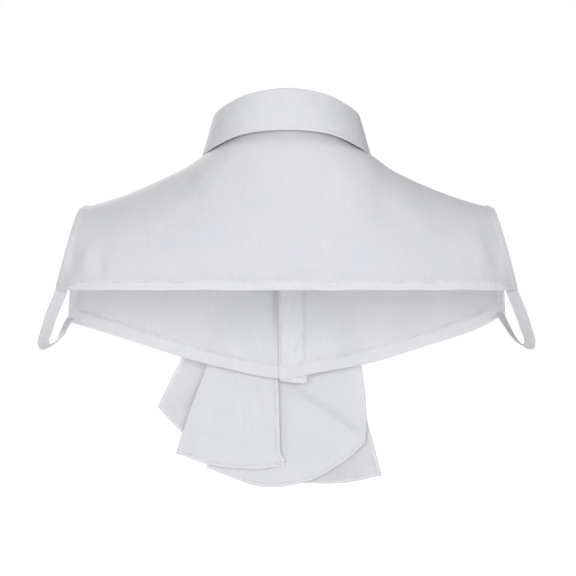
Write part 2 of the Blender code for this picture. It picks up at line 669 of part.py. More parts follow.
def add_buttons():
    azimuth = 180.0 + math.degrees(math.asin(-BUTTON_X / STAND_SIDE))
    low = np.array(ring_point(azimuth, NECK_SIDE, NECK_BACK, NECK_FRONT))
    top = np.array(ring_point(azimuth, STAND_SIDE, STAND_BACK, STAND_FRONT))
    off = COLLAR_LAP + STAND_WALL / 2.0 + SEAM_GAP + 0.1
    rise = fold_height(180.0) - FOLD_RISE - stand_edge(180.0)
    share = (BUTTON_HEIGHTS[0] - stand_edge(180.0)) / rise
    out = np.array(outward(azimuth, STAND_SIDE, STAND_BACK, STAND_FRONT))
    x, y = low + (top - low) * share + out * off
    lean = (top[1] - low[1]) / rise
    add_button("button_stand", (x, y, BUTTON_HEIGHTS[0]), (0.0, -1.0, lean))
    off = COLLAR_LAP + LAYER + WALL / 2.0 + SEAM_GAP
    for number, height in enumerate(BUTTON_HEIGHTS[1:], start=1):
        place, normal = front_surface(BUTTON_X, height, off)
        add_button(f"button_placket_{number}", place, normal)


def main():
    clear_scene()
    add_panels()
    add_collar()
    add_jabot()
    add_loops()
    add_buttons()


main()
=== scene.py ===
import math
from functools import partial

import bpy
import numpy as np
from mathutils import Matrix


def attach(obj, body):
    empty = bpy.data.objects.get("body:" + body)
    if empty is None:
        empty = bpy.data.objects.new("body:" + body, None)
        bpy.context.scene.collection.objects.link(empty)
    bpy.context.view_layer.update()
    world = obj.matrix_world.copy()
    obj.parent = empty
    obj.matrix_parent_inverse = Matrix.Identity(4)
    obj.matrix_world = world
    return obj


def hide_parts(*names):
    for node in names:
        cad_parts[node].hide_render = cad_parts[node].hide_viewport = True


# Looks of a white shirt collar on short fronts and a short back, with a gathered jabot, in its worn shape.
# Tables are in millimetres in the part's own frame: +Z up, the front faces -Y, the wearer's left is +X.
# Azimuth runs round the neck from its back, 0, past the wearer's left side, 90, to its front, 180.

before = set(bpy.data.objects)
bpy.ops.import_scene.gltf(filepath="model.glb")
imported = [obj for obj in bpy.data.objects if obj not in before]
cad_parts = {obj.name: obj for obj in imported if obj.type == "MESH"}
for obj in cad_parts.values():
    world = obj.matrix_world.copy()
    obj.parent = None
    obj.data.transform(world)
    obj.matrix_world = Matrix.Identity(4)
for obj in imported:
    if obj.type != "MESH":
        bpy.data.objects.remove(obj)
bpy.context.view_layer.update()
mm = 0.001
white = (1.0, 1.0, 1.0, 1.0)
print("frame:", len(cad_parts), "nodes")

# Studio: a pale floor that burns out to the white background, one large softbox behind the camera

studio = {
    "cameraPlace": (-0.0012, 2.4, -0.1169),  # straight behind the garment
    "lens": 166.7,
    "sensor": 36.0,
    "floorLevel": -0.46,
    "floorSize": 16.0,
    "floorColour": "#F2F2F3",
    "floorGlow": 0.1,  # light that the floor throws up, as a lit white one does
    "floorBurn": 0.7,  # and what more the camera sees of it
    "ambient": 0.265,
    "aim": (0.0, 0.0, -0.1),  # where the lamps point
    "lights": {  # place, size, watts, tint
        "softboxBehind": ((0.0, 2.9, 0.2), (2.4, 0.8), 39.5, (1, 1, 1)),
        "softboxFront": ((0.9, -2.6, 1.0), (1.4, 1.4), 54.0, (1, 0.985, 0.94)),
        "softboxAbove": ((0.0, 0.6, 1.8), (1.6, 1.6), 10.5, (1, 1, 1)),
    },
}


def linear(hexColour):
    channels = [int(hexColour[i : i + 2], 16) / 255.0 for i in (1, 3, 5)]
    return tuple(c / 12.92 if c <= 0.04045 else ((c + 0.055) / 1.055) ** 2.4 for c in channels) + (1.0,)


def setSockets(node, links=None, values=None):
    # a link starts at a socket, or at a node's first output
    for name, value in (values or {}).items():
        node.inputs[name].default_value = value
    for name, source in (links or {}).items():
        node.id_data.links.new(getattr(source, "outputs", [source])[0], node.inputs[name])


def addNode(tree, kind, links=None, values=None, **settings):
    node = tree.nodes.new("ShaderNode" + kind)
    for name, value in settings.items():
        setattr(node, name, value)
    setSockets(node, links, values)
    return node


def newMaterial(name):
    material = bpy.data.materials.new(name)
    material.use_nodes = True
    tree = material.node_tree
    return material, tree.nodes["Principled BSDF"], partial(addNode, tree)


def addObject(name, data):
    obj = bpy.data.objects.new(name, data)
    bpy.context.scene.collection.objects.link(obj)
    return obj


def addMesh(name, points, faces, material):
    mesh = bpy.data.meshes.new(name)
    mesh.from_pydata((np.asarray(points) * mm).tolist(), [], faces)
    mesh.shade_smooth()
    mesh.materials.append(material)
    return addObject(name, mesh)


def dress(obj, node=None):
    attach(obj, "root")
    if node:
        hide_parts(node)


def aimAt(obj, target):
    way = np.array(target) - np.array(obj.location)
    level = math.hypot(way[0], way[1])
    obj.rotation_euler = (math.pi / 2.0 + math.atan2(way[2], level), 0.0, math.atan2(-way[0], way[1]))


def makeCamera():
    lens = bpy.data.cameras.new("photoCamera")
    lens.lens = studio["lens"]
    lens.sensor_width = studio["sensor"]
    camera = addObject("photoCamera", lens)
    camera.location = studio["cameraPlace"]
    camera.rotation_euler = (math.pi / 2.0, 0.0, math.pi)
    bpy.context.scene.camera = camera


def makeLights():
    for name, (place, size, watts, tint) in studio["lights"].items():
        lamp = bpy.data.lights.new(name, "AREA")
        lamp.shape = "RECTANGLE"
        lamp.size, lamp.size_y = size
        lamp.energy, lamp.color = watts, tint
        box = addObject(name, lamp)
        box.location = place
        aimAt(box, studio["aim"])
    world = bpy.data.worlds.new("white studio")
    bpy.context.scene.world = world
    world.use_nodes = True
    world.node_tree.nodes.clear()
    add = partial(addNode, world.node_tree)
    seen = add("LightPath").outputs["Is Camera Ray"]
    lit, bright = (add("Background", {}, {0: white, 1: level}) for level in (studio["ambient"], 1.0))
    both = add("MixShader", {0: seen, 1: lit, 2: bright})
    add("OutputWorld", {"Surface": both})
    bpy.context.scene.view_settings.view_transform = "Standard"


def makeFloor():
    paint, shader, add = newMaterial("matt floor paint")  # pale and even, so that only a faint shadow shows
    seen = add("LightPath").outputs["Is Camera Ray"]
    levels = {1: studio["floorBurn"], 2: studio["floorGlow"]}
    glow = add("Math", {0: seen}, levels, operation="MULTIPLY_ADD")
    looks = {"Base Color": linear(studio["floorColour"]), "Emission Color": white}
    looks |= {"Roughness": 0.9, "Specular IOR Level": 0.1}
    setSockets(shader, {"Emission Strength": glow}, looks)
    half, level = studio["floorSize"] / 2.0, studio["floorLevel"]
    signs = ((-1.0, -1.0), (1.0, -1.0), (1.0, 1.0), (-1.0, 1.0))
    corners = np.array([(x * half, y * half, level) for x, y in signs])
    addMesh("paleFloor", corners / mm, [(0, 1, 2, 3)], paint)


makeCamera()
makeLights()
makeFloor()
print("camera, lights and floor")

# Materials


def waveScale(pitch):
    # the scale at which a wave texture repeats every so many mm
    return 2.0 * math.pi / 20.0 * 1000.0 / pitch


def fromTo(*limits):
    return dict(zip(("From Min", "From Max", "To Min", "To Max"), limits))


poplin = {
    "colour": "#E0E1E7",
    "warmColour": "#E4E4E5",  # in soft patches, as pressed cloth takes the light
    "patchSize": 34.0,  # mm
    "patchRange": (0.38, 0.62),
    "dullThread": "#DCDDE2",
    # painted light: these lighter tones go where layers lie behind the cloth
    "litLayerColour": "#EEEFF3",
    "litLayerDull": "#E8E9EC",
    "seamShade": "#B6B7BD",  # painted shade in the needle holes and in the dip along a line of stitches
    "seamReach": (0.2, 0.8, 1.0, 0.0),  # mm from the line, to all of that shade and to none
    "holeShade": (-0.2, 1.0, 0.3, 0.8),  # less of it between the holes
    "stitchPitch": 3.2,  # mm
    "unevenSize": 11.0,  # mm over which the line comes and goes
    "unevenRange": (0.42, 0.66, 0.1, 0.9),
    "puckerPitch": 4.2,  # mm
    "puckerRelief": 1.5,  # mm
    "puckerReach": (0.5, 7.5, 1.0, 0.0),  # mm from the stitches
    "looks": {
        "Roughness": 0.8, "Specular IOR Level": 0.25, "Sheen Weight": 0.12, "Sheen Roughness": 0.5,
        "Subsurface Radius": (1.0, 0.97, 0.92), "Subsurface Scale": 3.0 * mm,
    },
    "glowThrough": 0.19,  # one layer lets some of the light behind it through
    "glowDoubled": 0.12,  # and two layers, or folds behind each other, hardly any
    "threadPitch": 1.5,  # mm; real threads lie 0.25 mm apart, too fine to show, so they are drawn this coarse
    "slubWidth": 1.2,  # mm, a thicker thread now and then
    "slubLength": 42.0,
    "slubRange": (0.33, 0.67),
    "slubUpright": 0.65,  # share of the thicker threads that run down the cloth
    "weaveRelief": 0.05,  # mm
}


def makePoplin(name, glow):
    # Cotton poplin, bleached white and pressed: matt, very slightly blue, soft at grazing light, with fine
    # even threads, a few of them thicker. It is painted lighter where layers lie behind it, as painted light
    # for what those layers throw back, and painted shade darkens it along its stitches.
    material, shader, add = newMaterial(name)
    grain = add("UVMap", uv_map="grain")
    body = add("TexCoord").outputs["Object"]
    across, along = 1000.0 / poplin["slubWidth"], 1000.0 / poplin["slubLength"]
    streaks = []
    for scale in ((across, along, 1.0), (along, across, 1.0)):
        stretched = add("Mapping", {"Vector": grain}, {"Scale": scale})
        noise = {"Scale": 1.0, "Detail": 2.0, "Roughness": 0.55}
        streaks.append(add("TexNoise", {"Vector": stretched}, noise))
    upright = poplin["slubUpright"]
    level = add("Math", {0: streaks[1]}, {1: 1.0 - upright}, operation="MULTIPLY")
    slubs = add("Math", {0: streaks[0], 2: level}, {1: upright}, operation="MULTIPLY_ADD")
    spread = add("MapRange", {"Value": slubs}, fromTo(*poplin["slubRange"]))
    patches, tight, gathers = (
        add("TexNoise", {"Vector": body}, {"Scale": 1000.0 / poplin[size], "Detail": detail})
        for size, detail in (("patchSize", 2.0), ("unevenSize", 2.0), ("puckerPitch", 1.5))
    )
    patched = add("MapRange", {"Value": patches}, fromTo(*poplin["patchRange"]))
    uneven = add("MapRange", {"Value": tight}, fromTo(*poplin["unevenRange"]))
    # painted light: how much lighter the cloth is painted where layers lie behind it
    paintedLayerLight = add("Attribute", attribute_type="GEOMETRY", attribute_name="paintedLayerLight").outputs["Fac"]
    tint = {name: linear(value) for name, value in poplin.items() if str(value).startswith("#")}
    ends = {6: tint["colour"], 7: tint["warmColour"]}
    tone = add("Mix", {0: patched}, ends, data_type="RGBA").outputs[2]
    single = add("Mix", {0: spread, 7: tone}, {6: tint["dullThread"]}, data_type="RGBA").outputs[2]
    ends = {6: tint["litLayerDull"], 7: tint["litLayerColour"]}
    litLayerTone = add("Mix", {0: spread}, ends, data_type="RGBA").outputs[2]
    plain = add("Mix", {0: paintedLayerLight, 6: single, 7: litLayerTone}, data_type="RGBA").outputs[2]
    # painted shade along each line of stitches, stronger at the needle holes
    distances, holes = [], []
    for seam in ("hem", "side"):
        away, run = (
            add("Attribute", attribute_type="GEOMETRY", attribute_name=seam + mark).outputs["Fac"]
            for mark in ("Away", "Run")
        )
        distances.append(add("Math", {0: away}, operation="ABSOLUTE"))
        line = add("MapRange", {"Value": distances[-1]}, fromTo(*poplin["seamReach"]))
        turns = {1: 2.0 * math.pi / poplin["stitchPitch"]}
        wave = add("Math", {0: run}, turns, operation="MULTIPLY")
        wave = add("Math", {0: wave}, operation="COSINE")
        dark = add("MapRange", {"Value": wave}, fromTo(*poplin["holeShade"]))
        holes.append(add("Math", {0: line, 1: dark}, operation="MULTIPLY"))
    nearest = add("Math", {0: distances[0], 1: distances[1]}, operation="MINIMUM")
    row = add("Math", {0: holes[0], 1: holes[1]}, operation="MAXIMUM")
    stitchShade = add("Math", {0: row, 1: uneven}, operation="MULTIPLY")
    sewn = add("Mix", {0: stitchShade, 6: plain}, {7: tint["seamShade"]}, data_type="RGBA")
    near = add("MapRange", {"Value": nearest}, fromTo(*poplin["puckerReach"]))
    puckers = add("Math", {0: near, 1: gathers}, operation="MULTIPLY")
    relief = {"Strength": 0.8, "Distance": poplin["puckerRelief"] * mm}
    puckered = add("Bump", {"Height": puckers}, relief)
    weave = {"Scale": waveScale(poplin["threadPitch"]), "Distortion": 0.6, "Detail": 1.0}
    warp, weft = (
        add("TexWave", {"Vector": grain}, weave, bands_direction=direction).outputs["Fac"]
        for direction in ("X", "Y")
    )
    crossed = add("Math", {0: warp, 1: weft}, operation="ADD")
    height = add("Math", {0: slubs, 2: crossed}, {1: 1.4}, operation="MULTIPLY_ADD")
    relief = {"Strength": 0.35, "Distance": poplin["weaveRelief"] * mm}
    bump = add("Bump", {"Height": height, "Normal": puckered}, relief)
    looks = poplin["looks"] | {"Subsurface Weight": glow}
    setSockets(shader, {"Base Color": sewn.outputs[2], "Normal": bump}, looks)
    return material


elasticBraid = {
    "colour": "#D2D3D7",
    # painted shade in the gaps between the ribs
    "gapShadeColour": "#C6C7CC",
    "looks": {
        "Roughness": 0.62, "Sheen Weight": 0.2, "Subsurface Weight": 0.55,
        "Subsurface Radius": (1.0, 0.98, 0.95), "Subsurface Scale": 3.0 * mm,
    },
    "ribPitch": 1.2,  # mm
    "ribShare": 0.75,  # the rest of the relief is the cross threads'
    "pickPitch": 1.1,
    "relief": 0.12,  # mm
}


def makeElastic():
    # Woven elastic: white polyester over rubber cores, so even ribs run along it with small cross threads.
    # Painted shade darkens the gaps between them.
    material, shader, add = newMaterial("woven elastic")
    grain = add("UVMap", uv_map="grain")
    picks, ribs = (
        add(
            "TexWave",
            {"Vector": grain},
            {"Scale": waveScale(elasticBraid[pitch]), "Distortion": uneven, "Detail": 1.0},
            bands_direction=direction,
        ).outputs["Fac"]
        for direction, pitch, uneven in (("Y", "pickPitch", 0.8), ("X", "ribPitch", 1.2))
    )
    share = elasticBraid["ribShare"]
    faint = add("Math", {0: picks}, {1: 1.0 - share}, operation="MULTIPLY")
    amount = add("Math", {0: ribs, 2: faint}, {1: share}, operation="MULTIPLY_ADD")
    # painted shade: darker in the gaps between ribs and cross threads
    ends = {6: linear(elasticBraid["gapShadeColour"]), 7: linear(elasticBraid["colour"])}
    tint = add("Mix", {0: amount}, ends, data_type="RGBA")
    relief = {"Strength": 0.4, "Distance": elasticBraid["relief"] * mm}
    bump = add("Bump", {"Height": amount}, relief)
    setSockets(shader, {"Base Color": tint.outputs[2], "Normal": bump}, elasticBraid["looks"])
    return material


def makeClouded(name, noise, colours, looks, gloss=None):
    # an even material whose colour, and gloss if it has two limits, drift with a noise
    material, shader, add = newMaterial(name)
    place = add("TexCoord").outputs["Object"]
    clouds = add("TexNoise", {"Vector": place}, noise)
    ends = {6 + k: linear(colour) for k, colour in enumerate(colours)}
    links = {"Base Color": add("Mix", {0: clouds}, ends, data_type="RGBA").outputs[2]}
    if gloss:
        links["Roughness"] = add("MapRange", {"Value": clouds}, fromTo(0.0, 1.0, *gloss))
    setSockets(shader, links, looks)
    return material


materials = {
    "poplin": makePoplin("cotton poplin", poplin["glowThrough"]),
    "poplinDoubled": makePoplin("cotton poplin in layers", poplin["glowDoubled"]),
    "elastic": makeElastic(),
    # a little glossier than the cloth, its fluff and twist seen as fine lighter specks
    "thread": makeClouded(
        "spun polyester thread", {"Scale": 1800.0, "Detail": 1.0}, ("#DCDDE1", "#F0F0F2"), {"Roughness": 0.5}
    ),
    # turned and tumbled to a soft gloss, milky with faint clouds
    "resin": makeClouded(
        "polyester button resin",
        {"Scale": 240.0, "Detail": 3.0, "Distortion": 1.2},
        ("#E2E3E2", "#F3F3F1"),
        {"IOR": 1.55, "Coat Weight": 0.3, "Coat Roughness": 0.12},
        gloss=(0.2, 0.3),
    ),
}
print("materials:", len(materials))

# Curves read from tables


def eased(value):
    share = np.clip(value, 0.0, 1.0)
    return share * share * (3.0 - 2.0 * share)


def bell(value):
    return np.exp(-(value**2))


def unit(vectors):
    return vectors / np.maximum(np.linalg.norm(vectors, axis=-1, keepdims=True), 1e-9)


def readRows(rows, at, keyed=True):
    # the smooth curve of each column, at places on the first column or else at numbers of rows
    columns = np.transpose(rows).astype(float)
    keys = columns[0] if keyed else np.arange(float(len(rows)))
    at = np.clip(at, keys[0], keys[-1])
    i = np.clip(np.searchsorted(keys, at) - 1, 0, len(keys) - 2)
    step = keys[i + 1] - keys[i]
    share = (at - keys[i]) / step
    square, cube = share**2, share**3
    curves = []
    for values in columns[int(keyed) :]:
        slopes = []
        for j in (i, i + 1):
            low, high = np.maximum(j - 1, 0), np.minimum(j + 1, len(keys) - 1)
            slopes.append((values[high] - values[low]) / (keys[high] - keys[low]) * step)
        curve = (2 * cube - 3 * square + 1) * values[i] + (cube - 2 * square + share) * slopes[0]
        curves.append(curve + (3 * square - 2 * cube) * values[i + 1] + (cube - square) * slopes[1])
    return curves


def wobble(at, seed):
    # uneven but repeatable, about -1 to 1, with its finest wave about 1 long
    total = 0.0
    for i in range(1, 6):
        rate = 1.1 + 0.83 * i + 0.37 * math.sin(seed * 1.7 + i * 2.3)
        total = total + np.sin(np.asarray(at) * rate + seed * 3.1 + i * 1.9) / (0.7 + 0.35 * i)
    return total / 3.0


# The worn form under the cloth

figure = {
    "roundness": 2.4,
    "shoulderTop": 4.9,
    "shoulderFall": 0.60,
    "shoulderCurve": 0.0015,
    "shoulderTip": 185.5,
    "tipLift": 1.5,
    "neckSide": 65.0,
    "neckSpread": 35.0,
}
behind = {"reach": 212.0, "depth": 97.0, "neckDepth": 61.5, "base": -118.5, "way": 1.0}
before = {"reach": 209.5, "depth": 115.0, "neckDepth": 66.0, "base": -212.0, "way": -1.0}
neckRing = (figure["neckSide"], behind["neckDepth"], before["neckDepth"])
collarLines = (  # azimuth, height of the neck seam, height of the fold
    (-30, 22, 55), (0, 26, 59), (30, 22, 55), (60, 12.6, 45), (90, 4.9, 36.3), (120, -8, 25), (150, -27, 3),
    (180, -44, -18), (210, -27, 3),
)


def collarHeight(azimuth, line):
    turned = np.abs(azimuth)
    seam, fold = readRows(collarLines, np.minimum(turned, 360.0 - turned))
    return seam if line == "seam" else fold


def planDepth(x, side):
    across = np.clip(np.abs(x) / side["reach"], 0.0, 1.0) ** figure["roundness"]
    return side["depth"] * (1.0 - across) ** (1.0 / figure["roundness"])


def shoulderHeight(x):
    neckSide = figure["neckSide"]
    out = np.abs(x) - neckSide
    sloping = figure["shoulderTop"] - figure["shoulderFall"] * out + figure["shoulderCurve"] * out * out
    rounded = figure["shoulderTop"] + figure["shoulderFall"] * neckSide / 2.0 * (1.0 - (x / neckSide) ** 2)
    return np.where(out >= 0.0, sloping, rounded)


def neckLift(x, y, side):
    wide, deep = x / figure["neckSide"], y / side["neckDepth"]
    radius = np.maximum(np.hypot(wide, deep), 1e-6)
    atX, atY = x / radius, y / radius
    level = np.sqrt(np.maximum(1.0 - (atY / planDepth(atX, side)) ** 2, 0.01))
    rise = shoulderHeight(atX) - side["base"]
    wanted = collarHeight(np.degrees(np.arctan2(wide, deep)), "seam")
    missing = wanted - side["base"] - rise * level
    return missing / level * bell((radius - 1.0) * figure["neckSide"] / figure["neckSpread"])


def figurePoint(x, turn, side):
    y = planDepth(x, side) * np.sin(turn) * side["way"]
    rise = shoulderHeight(x) - side["base"] + neckLift(x, y, side)
    return np.stack([x + 0.0 * turn, y, side["base"] + rise * np.cos(turn)], axis=-1)


def turnAt(x, y, side):
    return np.arcsin(np.clip(np.abs(y) / planDepth(x, side), 0.0, 1.0))


def ringPoint(azimuth, side, back, front):
    angle = np.radians(azimuth)
    deep = np.cos(angle)
    return side * np.sin(angle), np.where(deep > 0.0, back, front) * deep


def ringOutward(azimuth, side, back, front):
    angle = np.radians(azimuth)
    depth = np.where(np.cos(angle) > 0.0, back, front)
    wide, deep = np.sin(angle) / side, np.cos(angle) / depth
    length = np.hypot(wide, deep)
    return wide / length, deep / length


def hangCloth(topX, topTurn, hemX, hemTurn, tip, share, side):
    topX, topTurn, hemX, hemTurn, tip = (
        np.asarray(v, float)[:, None] for v in (topX, topTurn, hemX, hemTurn, tip)
    )
    share = share[None, :]
    turn = topTurn + (hemTurn - topTurn) * share
    fallen = (np.cos(topTurn) - np.cos(turn)) / (np.cos(topTurn) - np.cos(hemTurn))
    swept = fallen if side is behind else np.sin(fallen * math.pi / 2.0)
    across = share + (swept - share) * tip
    points = figurePoint(topX + (hemX - topX) * across, turn, side)
    nearTip = bell((np.abs(topX) - figure["shoulderTip"] + 4.6) / 2.6) * (1.0 - eased(share / 0.05))
    points[..., 2] += figure["tipLift"] * nearTip
    return points


# Cloth: a grid of points in the middle of a thin wall, thicker where a hem lies double

cloth = {
    "wall": 0.55,  # mm, poplin as it looks with its nap
    "hemLayer": 0.34,  # what each folded layer adds
    "rimBulge": 0.32,  # how far a cut edge rounds out, as a share of the wall
    "grooveWidth": 0.75,
    "grooveDepth": 0.3,
    "layersLightShare": 0.9,  # painted light: how much lighter two and more layers are painted, of 1
}
plainStitch = {"pitch": 3.2, "length": 2.3, "thick": 0.34}
fineStitch = {"pitch": 2.6, "length": 1.9, "thick": 0.34}


def spaced(*runs):
    # runs are (from, to, steps), joined end to end
    parts = [np.linspace(low, high, steps, endpoint=False) for low, high, steps in runs]
    return np.concatenate([*parts, [runs[-1][1]]])


def normalsOf(points):
    return unit(np.cross(np.gradient(points, axis=0), np.gradient(points, axis=1)))


def outwardNormals(points):
    normal = normalsOf(points)
    return normal * np.sign(np.sum(normal[..., :2] * points[..., :2]))


def runsAlong(points, axis):
    # how far each point is from the first one of its line, and from the last one
    steps = np.linalg.norm(np.diff(points, axis=axis), axis=2)
    start = np.zeros_like(np.take(steps, [0], axis=axis))
    travelled = np.concatenate([start, np.cumsum(steps, axis=axis)], axis=axis)
    return travelled, np.take(travelled, [-1], axis=axis) - travelled


def hemProfile(distance, width):
    # 1 on the hem, where the cloth lies double, 0 past its folded edge
    return 1.0 - eased((distance - width + 0.5) / 1.0)


def groove(distance, at):
    return bell((distance - at) / cloth["grooveWidth"])


def creaseDepth(x, z, creases):
    # each: from (x, z), to (x, z), width, depth, then how far it widens, how its ends fade and its bow
    total = np.zeros_like(x)
    for (fromX, fromZ), (toX, toZ), width, depth, *more in creases:
        widening, fade, bow = *more, *(1.0, 0.35, 0.0)[len(more) :]
        runX, runZ = toX - fromX, toZ - fromZ
        length = math.hypot(runX, runZ)
        along = ((x - fromX) * runX + (z - fromZ) * runZ) / length**2
        across = ((x - fromX) * runZ - (z - fromZ) * runX) / length - bow * 4.0 * along * (1.0 - along)
        ends = eased(along / fade) * eased((1.0 - along) / fade)
        wide = width * (1.0 + (widening - 1.0) * np.clip(along, 0.0, 1.0))
        total += depth * ends * bell(across / wide)
    return total


def meshShell(name, outer, inner, grain, marks, material):
    # two faces joined round their edges by a rounded rim
    columns, rows = outer.shape[:2]
    count = columns * rows
    index = np.arange(count).reshape(columns, rows)
    ring = np.concatenate([index[:, 0], index[-1, 1:], index[-2::-1, -1], index[0, -2:0:-1]])
    middle = (outer + inner) / 2.0
    away = np.zeros_like(middle)
    away[0] += middle[0] - middle[1]
    away[-1] += middle[-1] - middle[-2]
    away[:, 0] += middle[:, 0] - middle[:, 1]
    away[:, -1] += middle[:, -1] - middle[:, -2]
    away = unit(away.reshape(-1, 3)[ring])
    outer, inner = outer.reshape(-1, 3), inner.reshape(-1, 3)
    wall = np.linalg.norm(outer[ring] - inner[ring], axis=1, keepdims=True)
    rim = (outer[ring] + inner[ring]) / 2.0 + away * wall * cloth["rimBulge"]
    points = np.concatenate([outer, inner, rim])
    quads = np.stack([index[:-1, :-1], index[1:, :-1], index[1:, 1:], index[:-1, 1:]], axis=-1).reshape(-1, 4)
    rimIndex = np.arange(len(ring)) + 2 * count
    after, rimAfter = np.roll(ring, -1), np.roll(rimIndex, -1)
    outerRim = np.stack([after, ring, rimIndex, rimAfter], axis=-1)
    innerRim = np.stack([rimAfter, rimIndex, ring + count, after + count], axis=-1)
    faces = np.concatenate([quads, quads[:, ::-1] + count, outerRim, innerRim])
    a, b, c, d = (points[faces[:, k]] for k in range(4))
    if np.sum(np.cross(a, b) * c) + np.sum(np.cross(a, c) * d) < 0.0:  # inside out
        faces = faces[:, ::-1]
    obj = addMesh(name, points, faces.tolist(), material)
    mesh = obj.data
    corners = np.empty(len(mesh.loops), np.int32)
    mesh.loops.foreach_get("vertex_index", corners)

    def onAll(values):
        return np.concatenate([values, values, values[ring]]).astype(np.float32)

    places = onAll(grain.reshape(-1, 2) * mm)[corners]
    mesh.uv_layers.new(name="grain").data.foreach_set("uv", places.ravel())
    for mark, values in marks.items():
        mesh.attributes.new(mark, "FLOAT", "POINT").data.foreach_set("value", onAll(values.reshape(-1)))
    return obj


def tubeFaces(base, rings, sides):
    faces = []
    for low in range(base, base + (rings - 1) * sides, sides):
        for j in range(sides):
            k = (j + 1) % sides
            faces.append((low + j, low + k, low + sides + k, low + sides + j))
    last = base + (rings - 1) * sides
    return faces + [tuple(range(base + sides - 1, base - 1, -1)), tuple(range(last, last + sides))]


def sewRows(name, rows, pitch, length, thick):
    # rows are (line, normals at the line): one joined mesh of small thread arches
    sides, rings = 6, 5
    ringShare = np.linspace(0.0, 1.0, rings)
    ringSize = np.array([0.35, 0.9, 1.0, 0.9, 0.35]) * thick / 2.0
    ringRise = np.array([-0.45, 0.25, 0.45, 0.25, -0.45]) * thick
    angles = np.arange(sides) * 2.0 * math.pi / sides
    circle = np.cos(angles), np.sin(angles)
    points, faces = [], []
    for line, normals in rows:
        travelled = np.concatenate([[0.0], np.cumsum(np.linalg.norm(np.diff(line, axis=0), axis=1))])
        for start in np.arange(pitch * 0.5, travelled[-1] - length, pitch):
            at = start + ringShare * length
            middle, up = (
                np.stack([np.interp(at, travelled, values[:, k]) for k in range(3)], axis=-1)
                for values in (line, normals)
            )
            up = unit(up)
            wide = np.cross(unit(np.gradient(middle, axis=0)), up)
            middle = middle + up * ringRise[:, None]
            ring = wide[:, None] * circle[0][:, None] + up[:, None] * circle[1][:, None]
            faces += tubeFaces(len(points) * rings * sides, rings, sides)
            points.append((middle[:, None] + ring * ringSize[:, None, None]).reshape(-1, 3))
    dress(addMesh(name, np.concatenate(points), faces, materials["thread"]))


def lineAt(face, distance, wanted):
    # the place on each line of a face at a distance from that line's end
    line = []
    for points, away in zip(face, distance):
        order = np.argsort(away)
        at = np.clip(wanted, away.min(), away.max())
        line.append([np.interp(at, away[order], points[order, k]) for k in range(3)])
    return np.array(line)


def makeSheet(name, node, points, normal, values, seams=(), paintedLayerLight=0.0, out=0.0, into=0.0, **look):
    # One cut piece: a shell and the stitches on its seams. A seam is its kind, the distance
    # from an edge, how far in its stitches run, and the first row of the grid that has any.
    half, shape = look.get("wall", cloth["wall"]) / 2.0, points.shape[:2]
    outer = points + normal * (half + np.broadcast_to(out, shape))[..., None]
    inner = points - normal * (half + np.broadcast_to(into, shape))[..., None]
    runs = {"hem": runsAlong(points, 0)[0], "side": runsAlong(points, 1)[0]}
    # painted light: how much lighter the cloth is painted where layers lie behind it
    marks = {"paintedLayerLight": np.clip(np.broadcast_to(paintedLayerLight, shape), 0.0, 1.0)}
    for kind, run in runs.items():
        # of seams on either side of the cloth the nearer one counts for the painted shade and the puckers
        # along the stitches
        nearest, along = np.full(shape, 60.0), np.zeros(shape)
        for seam in seams:
            if seam[0] == kind and kind in look.get("drawn", ("hem", "side")):
                distance = seam[1] - seam[2]
                closer = np.abs(distance) < np.abs(nearest)
                nearest, along = np.where(closer, distance, nearest), np.where(closer, run, along)
        marks[kind + "Away"], marks[kind + "Run"] = nearest, along
    material = look.get("material", "poplinDoubled")
    grain = np.stack([runs["hem"], runs["side"]], axis=-1)
    obj = meshShell(name, outer, inner, grain, marks, materials[material])
    dress(obj, node)
    rows = []
    for face, up in ((outer, normal), (inner, -normal))[: look.get("sewnFaces", 2)]:
        for kind, away, at, *first in seams:
            grids = (face, up, away - at)
            if kind == "side":
                grids = [grid.swapaxes(0, 1)[first[0] if first else 0 :] for grid in grids]
            rows.append((lineAt(grids[0], grids[2], 0.0), lineAt(grids[1], grids[2], 0.0)))
    if rows:
        sewRows(name + "Stitches", rows, **look.get("stitch", plainStitch))


# Back panel

back = {
    "hemCorner": 204.5,
    "neckHemShare": 0.52,  # share of the hem that hangs from the neck seam
    "neckColumnShare": 0.55,
    "hemWidth": 8.2,
    "sideHemWidth": 7.0,
    "stitchInset": (1.2, 1.3),  # from the folded edge of the hem and of the side hems
    "hemLightShare": (0.6, 0.45),  # painted light: how much lighter their two layers are painted
    "hemThick": (1.3, 1.2),  # layers that show outside and inside
    "dips": (1.0, 0.5),  # how deep the stitches sink there
    "uneven": (0.9, 0.4),  # mm that the hem's and the side hems' widths drift by
    "waves": 0.9,  # mm, soft ones all over
    "puckers": (0.5, 0.34),  # mm, along the hem and along the side hems
    "flat": (470.0, 205.0),
    "held": "hung",
    "creases": (
        ((84, 0), (88, -68), 10, -2.6, 1.7), ((-82, 0), (-90, -64), 10, -2.4, 1.6),
        ((60, 6), (128, -78), 5, 1.5, 2.6, 0.35, 6), ((-58, 7), (-136, -70), 5, 1.3, 2.4, 0.35, -5),
        ((158, -70), (166, -116), 6, -1.8, 1, 0.5), ((172, -66), (180, -116), 5, 1.7, 1, 0.5),
        ((187, -72), (192, -112), 4, -1.1, 1, 0.4), ((-166, -62), (-176, -114), 6, 1.7, 1, 0.5),
        ((-182, -70), (-188, -112), 4.5, -1.2, 1, 0.4), ((34, 12), (52, -58), 7, -1.3, 2),
        ((-30, 14), (-44, -66), 8, -1.1, 2), ((6, 14), (2, -50), 9, 0.8, 1.6),
        ((116, -84), (40, -100), 8, 1.1, 1, 0.35, 5), ((-112, -80), (-52, -102), 7, 1, 1, 0.35, -4),
    ),
}
neckClear = 0.95  # from the stand's middle to the panels' neck edge


